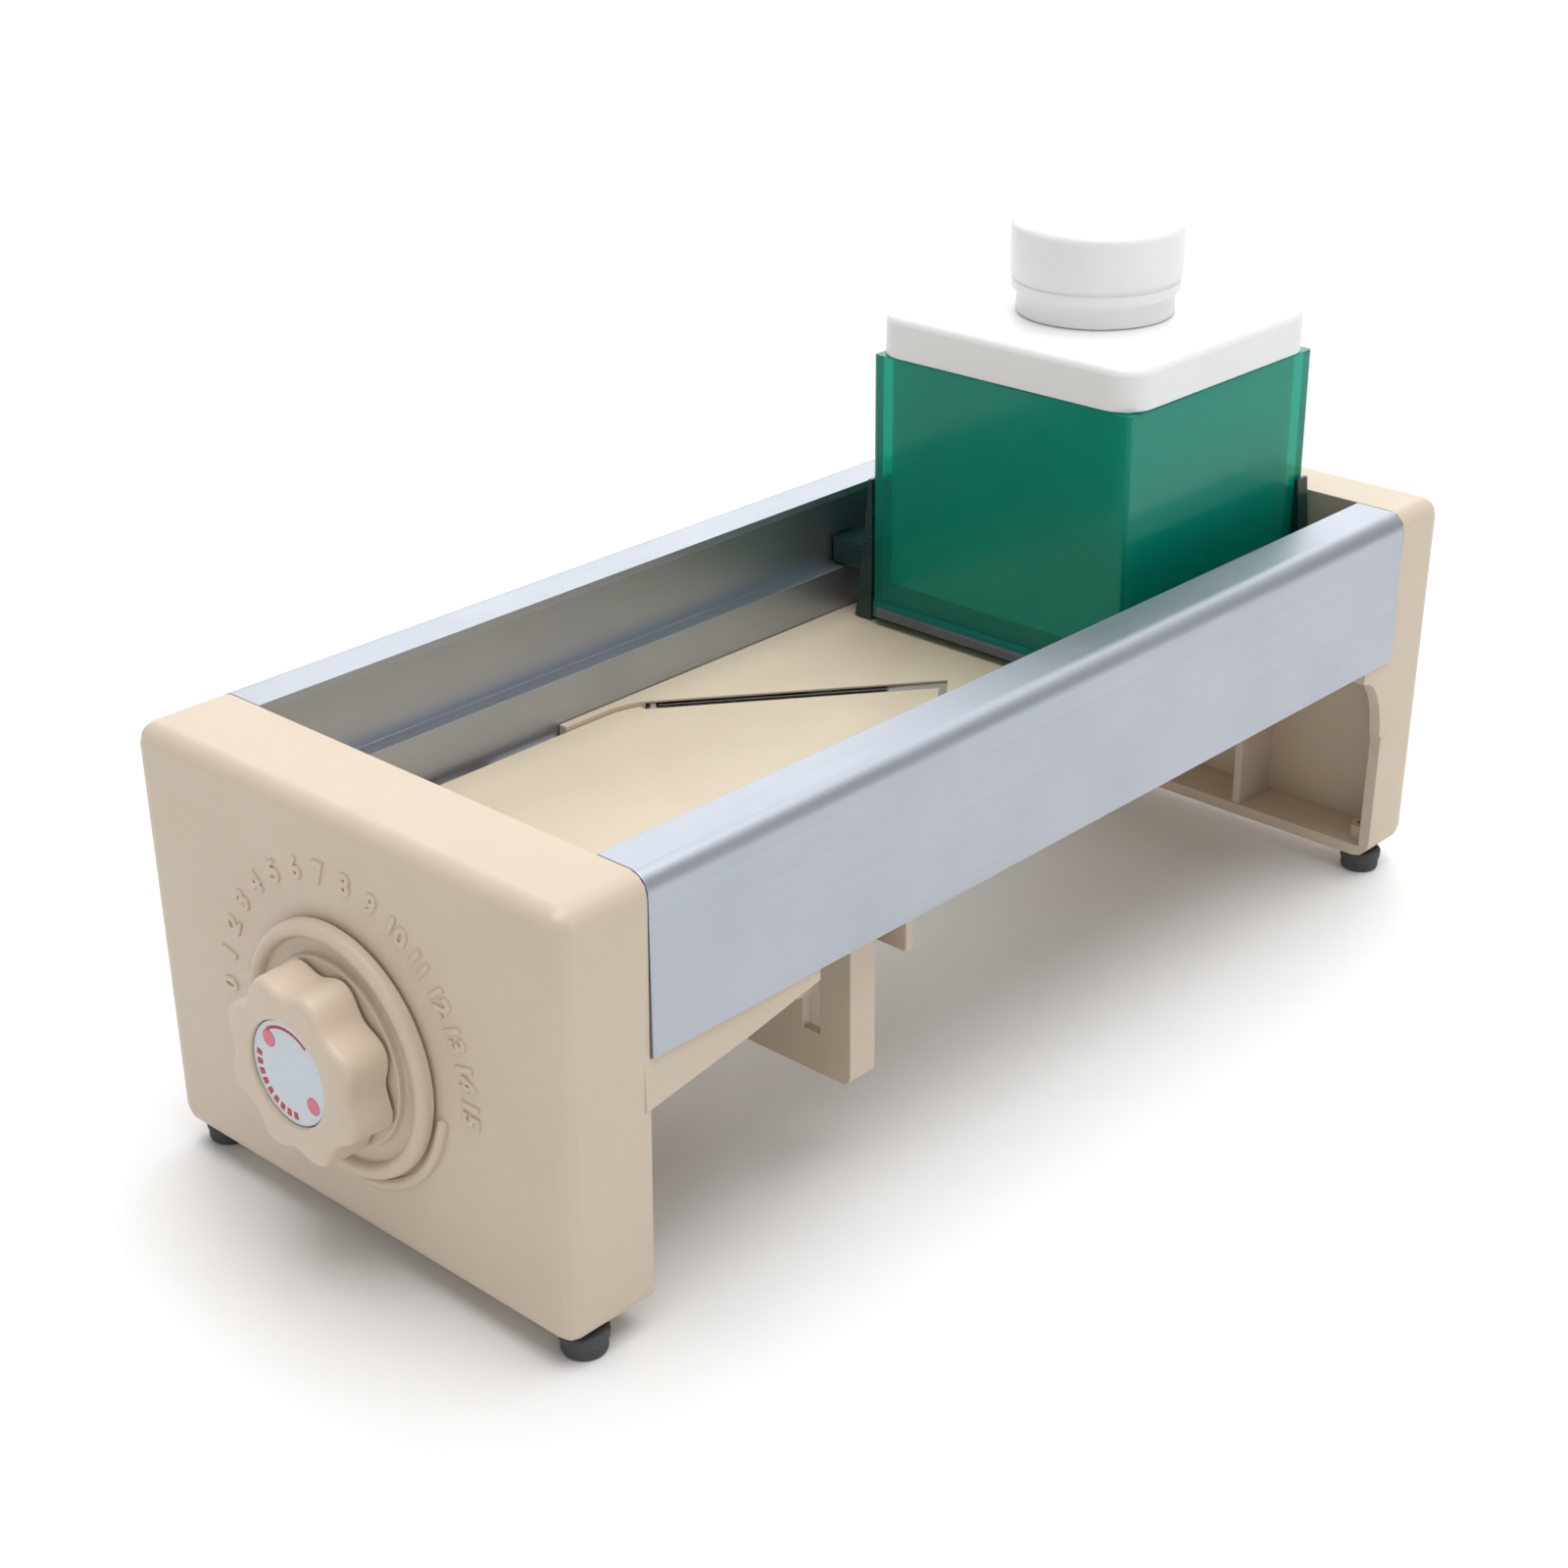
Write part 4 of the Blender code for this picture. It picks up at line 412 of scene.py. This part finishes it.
def dial_knob():
    """A round grip with soft lobes, dished in front for its label."""
    _, low, high = size_of("dial_knob")
    front, back = low.y, high.y
    radius = (high.z - low.z) / 2 - LOBE_HEIGHT
    label = size_of("dial_label")[2].z - DIAL_AXIS.z
    shoulder, lip, bore = 0.0030, 0.0008, 0.0044
    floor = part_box("dial_label")[1][1] + LABEL_GAP
    profile = [(bore, back), (radius - 0.0004, back), (radius, back - 0.0004)]
    profile += arc((radius - 0.0003 - shoulder, front + shoulder), shoulder, 0, -90, 9)
    profile += arc((label + LABEL_GAP + lip, front + lip), lip, -90, -180, 4)
    profile += [(label + LABEL_GAP, floor), (bore, floor)]
    bm = turned(profile, "Y", (DIAL_AXIS.x, 0, DIAL_AXIS.z), KNOB_LOBES * 16)
    start, full = label + 0.0020, radius - 0.0012
    for vert in bm.verts:
        out = vert.co - Vector((DIAL_AXIS.x, vert.co.y, DIAL_AXIS.z))
        share = min(max((out.length - start) / (full - start), 0), 1)
        share = share * share * (3 - 2 * share)
        swell = LOBE_HEIGHT * math.cos(KNOB_LOBES * (math.atan2(out.z, out.x) - LOBE_TURN))
        vert.co += out.normalized() * swell * share
    return finish_mesh("dial_grip", bm, "dial", BEIGE, ("dial_knob",))


def dial_disc():
    """The dial's disc: a round bead at its rim, a dish inside it, a collar under the
    grip and a nub that points at the setting."""
    _, low, high = size_of("dial_disc")
    back, front = high.y, low.y
    radius = (high.x - low.x) / 2
    bead, dish, bore = 0.0024, 0.0030, 0.0033
    collar = size_of("dial_knob")[2].z - DIAL_AXIS.z + 0.0003
    profile = [(bore, back), (radius - 0.0008, back), (radius, back - 0.0008)]
    profile += arc((radius - bead, front + bead), bead, 0, -180, 14)
    inner = radius - 2 * bead
    profile += arc((inner - 0.0008, front + dish - 0.0008), 0.0008, 0, 90, 4)
    profile += arc((collar + 0.0008, front + dish - 0.0008), 0.0008, 90, 180, 4)
    profile += [(collar, front + 0.0009), (collar - 0.0004, front + 0.0006), (bore, front + 0.0006)]
    bm = turned(profile, "Y", (DIAL_AXIS.x, 0, DIAL_AXIS.z))
    angle = math.pi * (1 - SETTING_NOW / LAST_SETTING)
    nub_place = Vector((math.cos(angle) * radius, front + bead, math.sin(angle) * radius))
    nub = bmesh.ops.create_uvsphere(bm, u_segments=20, v_segments=12, radius=POINTER_RADIUS)
    bmesh.ops.translate(bm, verts=nub["verts"],
                        vec=nub_place + Vector((DIAL_AXIS.x, 0, DIAL_AXIS.z)))
    return finish_mesh("dial_plate", bm, "dial", BEIGE, ("dial_disc",))


def dial_way(degrees):
    """Direction out from the dial's axis, anticlockwise from +X as seen from the front."""
    return Vector((math.cos(math.radians(degrees)), 0, math.sin(math.radians(degrees))))


def printed_arc(bm, inner, outer, start, end, y, rise):
    """A thin printed sector on the label, between two angles in degrees."""
    middle = Vector((DIAL_AXIS.x, y, DIAL_AXIS.z))
    way = dial_way(start)
    line = [bm.verts.new(middle + way * r) for r in (inner, outer)]
    edge = bm.edges.new(line)
    steps = max(2, round(abs(end - start) / 3))
    before = set(bm.faces)
    bmesh.ops.spin(bm, geom=[*line, edge], cent=middle, axis=(0, 1, 0),
                   angle=-math.radians(end - start), steps=steps)
    lift(bm, [f for f in bm.faces if f not in before], rise)


def lift(bm, faces, rise):
    """Gives flat faces a thickness, towards the front."""
    made = bmesh.ops.extrude_face_region(bm, geom=faces, use_keep_orig=True)
    moved = [v for v in made["geom"] if isinstance(v, bmesh.types.BMVert)]
    bmesh.ops.translate(bm, verts=moved, vec=(0, -rise, 0))


def label_print():
    """Plain marks on the dial's label: a row of dashes, a thin arc and two dots."""
    _, low, high = size_of("dial_label")
    face, radius = low.y, high.z - DIAL_AXIS.z
    rise, sink = 0.00006, 0.00004
    red = bmesh.new()
    for i in range(9):
        start = 168 + i * 13
        printed_arc(red, radius * 0.76, radius * 0.90, start, start + 8, face + sink, rise + sink)
    printed_arc(red, radius * 0.84, radius * 0.90, 52, 128, face + sink, rise + sink)
    finish_mesh("label_dashes", red, "dial", PRINT_RED)
    pink = bmesh.new()
    for x, z in ((-0.50, 0.52), (0.62, -0.42)):
        spot = Vector((DIAL_AXIS.x + x * radius, face + sink, DIAL_AXIS.z + z * radius))
        turn = Matrix.Translation(spot) @ Matrix.Rotation(math.pi / 2, 4, "X")
        made = bmesh.ops.create_circle(pink, cap_ends=True, segments=32, radius=radius * 0.17,
                                       matrix=turn)
        lift(pink, list({f for v in made["verts"] for f in v.link_faces}), rise + sink)
    finish_mesh("label_dots", pink, "dial", PRINT_PINK)


def cap_band():
    """A round bead on the raised band at the dial's lower right."""
    middle = Vector((DIAL_AXIS.x, CAP_FACE_Y - 0.0002, DIAL_AXIS.z))
    radius = size_of("dial_disc")[2].x + 0.0028
    start, end, bead = -12, -82, 0.0017
    bm = bmesh.new()
    way = dial_way(start)
    along = Vector((0, 1, 0))
    frame_turn = Matrix((way, along, way.cross(along))).transposed().to_4x4()
    ring = bmesh.ops.create_circle(bm, segments=20, radius=bead, cap_ends=False,
                                   matrix=Matrix.Translation(middle + way * radius) @ frame_turn)
    loop = ring["verts"] + list({e for v in ring["verts"] for e in v.link_edges})
    bmesh.ops.spin(bm, geom=loop, cent=middle, axis=(0, 1, 0),
                   angle=math.radians(start - end), steps=40)
    for angle in (start, end):
        bmesh.ops.create_uvsphere(bm, u_segments=20, v_segments=12, radius=bead,
                                  matrix=Matrix.Translation(middle + dial_way(angle) * radius))
    return finish_mesh("cap_band", bm, "base", BEIGE)


def box_sills():
    """Smoked bevelled bars along the foot of the food box, front and back."""
    _, low, high = size_of("carriage_box")
    for end, outer, way in (("front", low.y, 1), ("rear", high.y, -1)):
        bm = bmesh.new()
        depth, height, proud = 0.0032, 0.0052, 0.0004
        scale = (high.x - low.x - 0.006, depth, height)
        spot = (0, outer + way * (depth / 2 - proud), low.z + height / 2 + 0.0003)
        bmesh.ops.create_cube(bm, size=1.0,
                              matrix=Matrix.Translation(spot) @ Matrix.Diagonal((*scale, 1)))
        top = [e for e in bm.edges
               if all(v.co.z > spot[2] and (v.co.y - spot[1]) * way < 0 for v in e.verts)]
        bmesh.ops.bevel(bm, geom=top, offset=0.0022, segments=1, profile=0.5, affect="EDGES",
                        material=-1)
        bmesh.ops.bevel(bm, geom=bm.edges, offset=0.0002, segments=2, profile=0.5, affect="EDGES",
                        material=-1)
        finish_mesh(f"box_sill_{end}", bm, "carriage", SMOKED)


def pusher_grip():
    """The round grip on the pusher, with a soft top edge and two fine steps below."""
    middle, low, high = size_of("pusher_knob")
    radius, top, base = (high.x - low.x) / 2, high.z, low.z
    shoulder, bore = 0.0032, 0.0019
    step = base + (top - base) * 0.42
    profile = [(0, top), (radius * 0.55, top - 0.0001)]
    profile += arc((radius - shoulder, top - shoulder - 0.0004), shoulder, 88, 0, 9)
    profile += arc((radius - 0.0004, step + 0.0004), 0.0004, 0, -90, 3)
    profile += [(radius - 0.0009, step - 0.0003), (radius - 0.0009, step - 0.0016)]
    profile += [(radius - 0.0006, step - 0.0020), (radius - 0.0006, step - 0.0040)]
    profile += arc((radius - 0.0012, step - 0.0046), 0.0006, 0, -90, 3)
    profile += [(radius - 0.0023, step - 0.0054), (radius - 0.0023, base),
                (bore, base), (bore, base + 0.012), (0, base + 0.012)]
    bm = turned(profile, "Z", (middle.x, middle.y, 0))
    return finish_mesh("pusher_grip", bm, "pusher", WHITE, ("pusher_knob",))


def rubber_feet():
    for end in ENDS:
        for hand, _ in SIDES:
            name = f"foot_{end}_{hand}"
            middle, low, high = size_of(name)
            radius, top, recess, bore = (high.x - low.x) / 2, high.z, 0.0038, 0.0018
            profile = [(bore, top), (radius - 0.0010, top)]
            profile += arc((radius - 0.0010, top - 0.0010), 0.0010, 90, 0, 4)[1:]
            profile += [(radius - 0.0002, top - 0.0030), (radius - 0.0006, top - 0.0034)]
            profile += arc((radius - 0.0018, 0.0012), 0.0012, 0, -90, 5)
            profile += [(recess + 0.0004, 0), (recess, 0.0004), (recess, 0.0035), (bore, 0.0035)]
            bm = turned(profile, "Z", (middle.x, middle.y, 0), 64)
            finish_mesh(name + "_pad", bm, "base", RUBBER, (name,))


def plain_nodes():
    """Nodes whose shape is right as it is only take a finish."""
    finishes = {"bright_steel": PLATED, "bush_bronze": BRONZE, "white_plastic": WHITE,
                "dark_green": RUNNER_GREEN, "label_foil": LABEL_FOIL}
    for name, piece in NODES.items():
        if slot_of(name) in finishes and not piece.hide_render:
            piece.data.materials.clear()
            piece.data.materials.append(finishes[slot_of(name)])


def green_and_white_bodies():
    refined("carriage_box", CLEAR_GREEN, rounding=0.0003)
    for hand, _ in SIDES:
        refined("runner_" + hand, RUNNER_GREEN, rounding=0.0003)
    refined("pusher_block", WHITE, rounding=0.0003)
    refined("blade_holder", WHITE, rounding=0)
    refined("prong_plate", WHITE, rounding=0)


# ---- floor, lights and camera ----------------------------------------------------------
FLOOR_REACH = 6.0
SKY_STRENGTH = 0.44
OVERHEAD_STRENGTH = 2.45
OVERHEAD_SPREAD = math.radians(55)
OVERHEAD_WAY = Vector((-0.12, -0.10, -1.0))
PANEL_SIZE = (2.6, 1.4)
PANEL_POWER = 17.0
PANEL_PLACE = Vector((-1.25, 1.35, 1.05))
PANEL_TARGET = Vector((0, 0, 0.08))


def add_light(data, place, way):
    """Puts a light at a place, shining along a direction."""
    light = bpy.data.objects.new(data.name, data)
    light.location = place
    light.rotation_euler = way.to_track_quat("-Z", "Y").to_euler()
    bpy.context.scene.collection.objects.link(light)


def studio():
    bm = bmesh.new()
    bmesh.ops.create_grid(bm, x_segments=1, y_segments=1, size=FLOOR_REACH)
    mesh = bpy.data.meshes.new("floor")
    bm.to_mesh(mesh)
    bm.free()
    floor = bpy.data.objects.new("floor", mesh)
    bpy.context.scene.collection.objects.link(floor)
    mesh.materials.append(FLOOR_WHITE)

    world = bpy.data.worlds.new("studio")
    bpy.context.scene.world = world
    world.use_nodes = True
    sky = world.node_tree.nodes["Background"]
    sky.inputs["Color"].default_value = (1.0, 1.0, 1.0, 1)
    sky.inputs["Strength"].default_value = SKY_STRENGTH
    overhead = bpy.data.lights.new("soft overhead", "SUN")
    overhead.energy = OVERHEAD_STRENGTH
    overhead.angle = OVERHEAD_SPREAD
    add_light(overhead, (0, 0, 0), OVERHEAD_WAY)
    panel = bpy.data.lights.new("rear panel", "AREA")
    panel.shape = "RECTANGLE"
    panel.size, panel.size_y = PANEL_SIZE
    panel.energy = PANEL_POWER
    add_light(panel, PANEL_PLACE, PANEL_TARGET - PANEL_PLACE)
    bpy.context.scene.view_settings.view_transform = "Standard"


VIEW_AZIMUTH = math.radians(43.21)
VIEW_ELEVATION = math.radians(25.33)
VIEW_ROLL = math.radians(-0.55)
VIEW_OFFSET = Vector((0.11650, 0.00734, 0.68679))   # from the view's anchor: right, up, back
VIEW_ANCHOR = Vector((0, -0.190, 0.1345))
LENS = 62.07


def camera():
    a, e = VIEW_AZIMUTH, VIEW_ELEVATION
    back = Vector((math.sin(a) * math.cos(e), -math.cos(a) * math.cos(e), math.sin(e)))
    right = Vector((math.cos(a), math.sin(a), 0))
    up = back.cross(right)
    c, s = math.cos(VIEW_ROLL), math.sin(VIEW_ROLL)
    axes = Matrix((right * c + up * s, up * c - right * s, back)).transposed()
    data = bpy.data.cameras.new("camera")
    data.lens = LENS
    data.sensor_width = 36.0
    data.clip_start, data.clip_end = 0.01, 50.0
    eye = bpy.data.objects.new("camera", data)
    eye.matrix_world = Matrix.Translation(VIEW_ANCHOR + axes @ VIEW_OFFSET) @ axes.to_4x4()
    bpy.context.scene.collection.objects.link(eye)
    bpy.context.scene.camera = eye


beige_bodies()
metal_bodies()
green_and_white_bodies()
cap_numerals()
cap_band()
box_sills()
dial_knob()
dial_disc()
label_print()
pusher_grip()
rubber_feet()
plain_nodes()
studio()
camera()
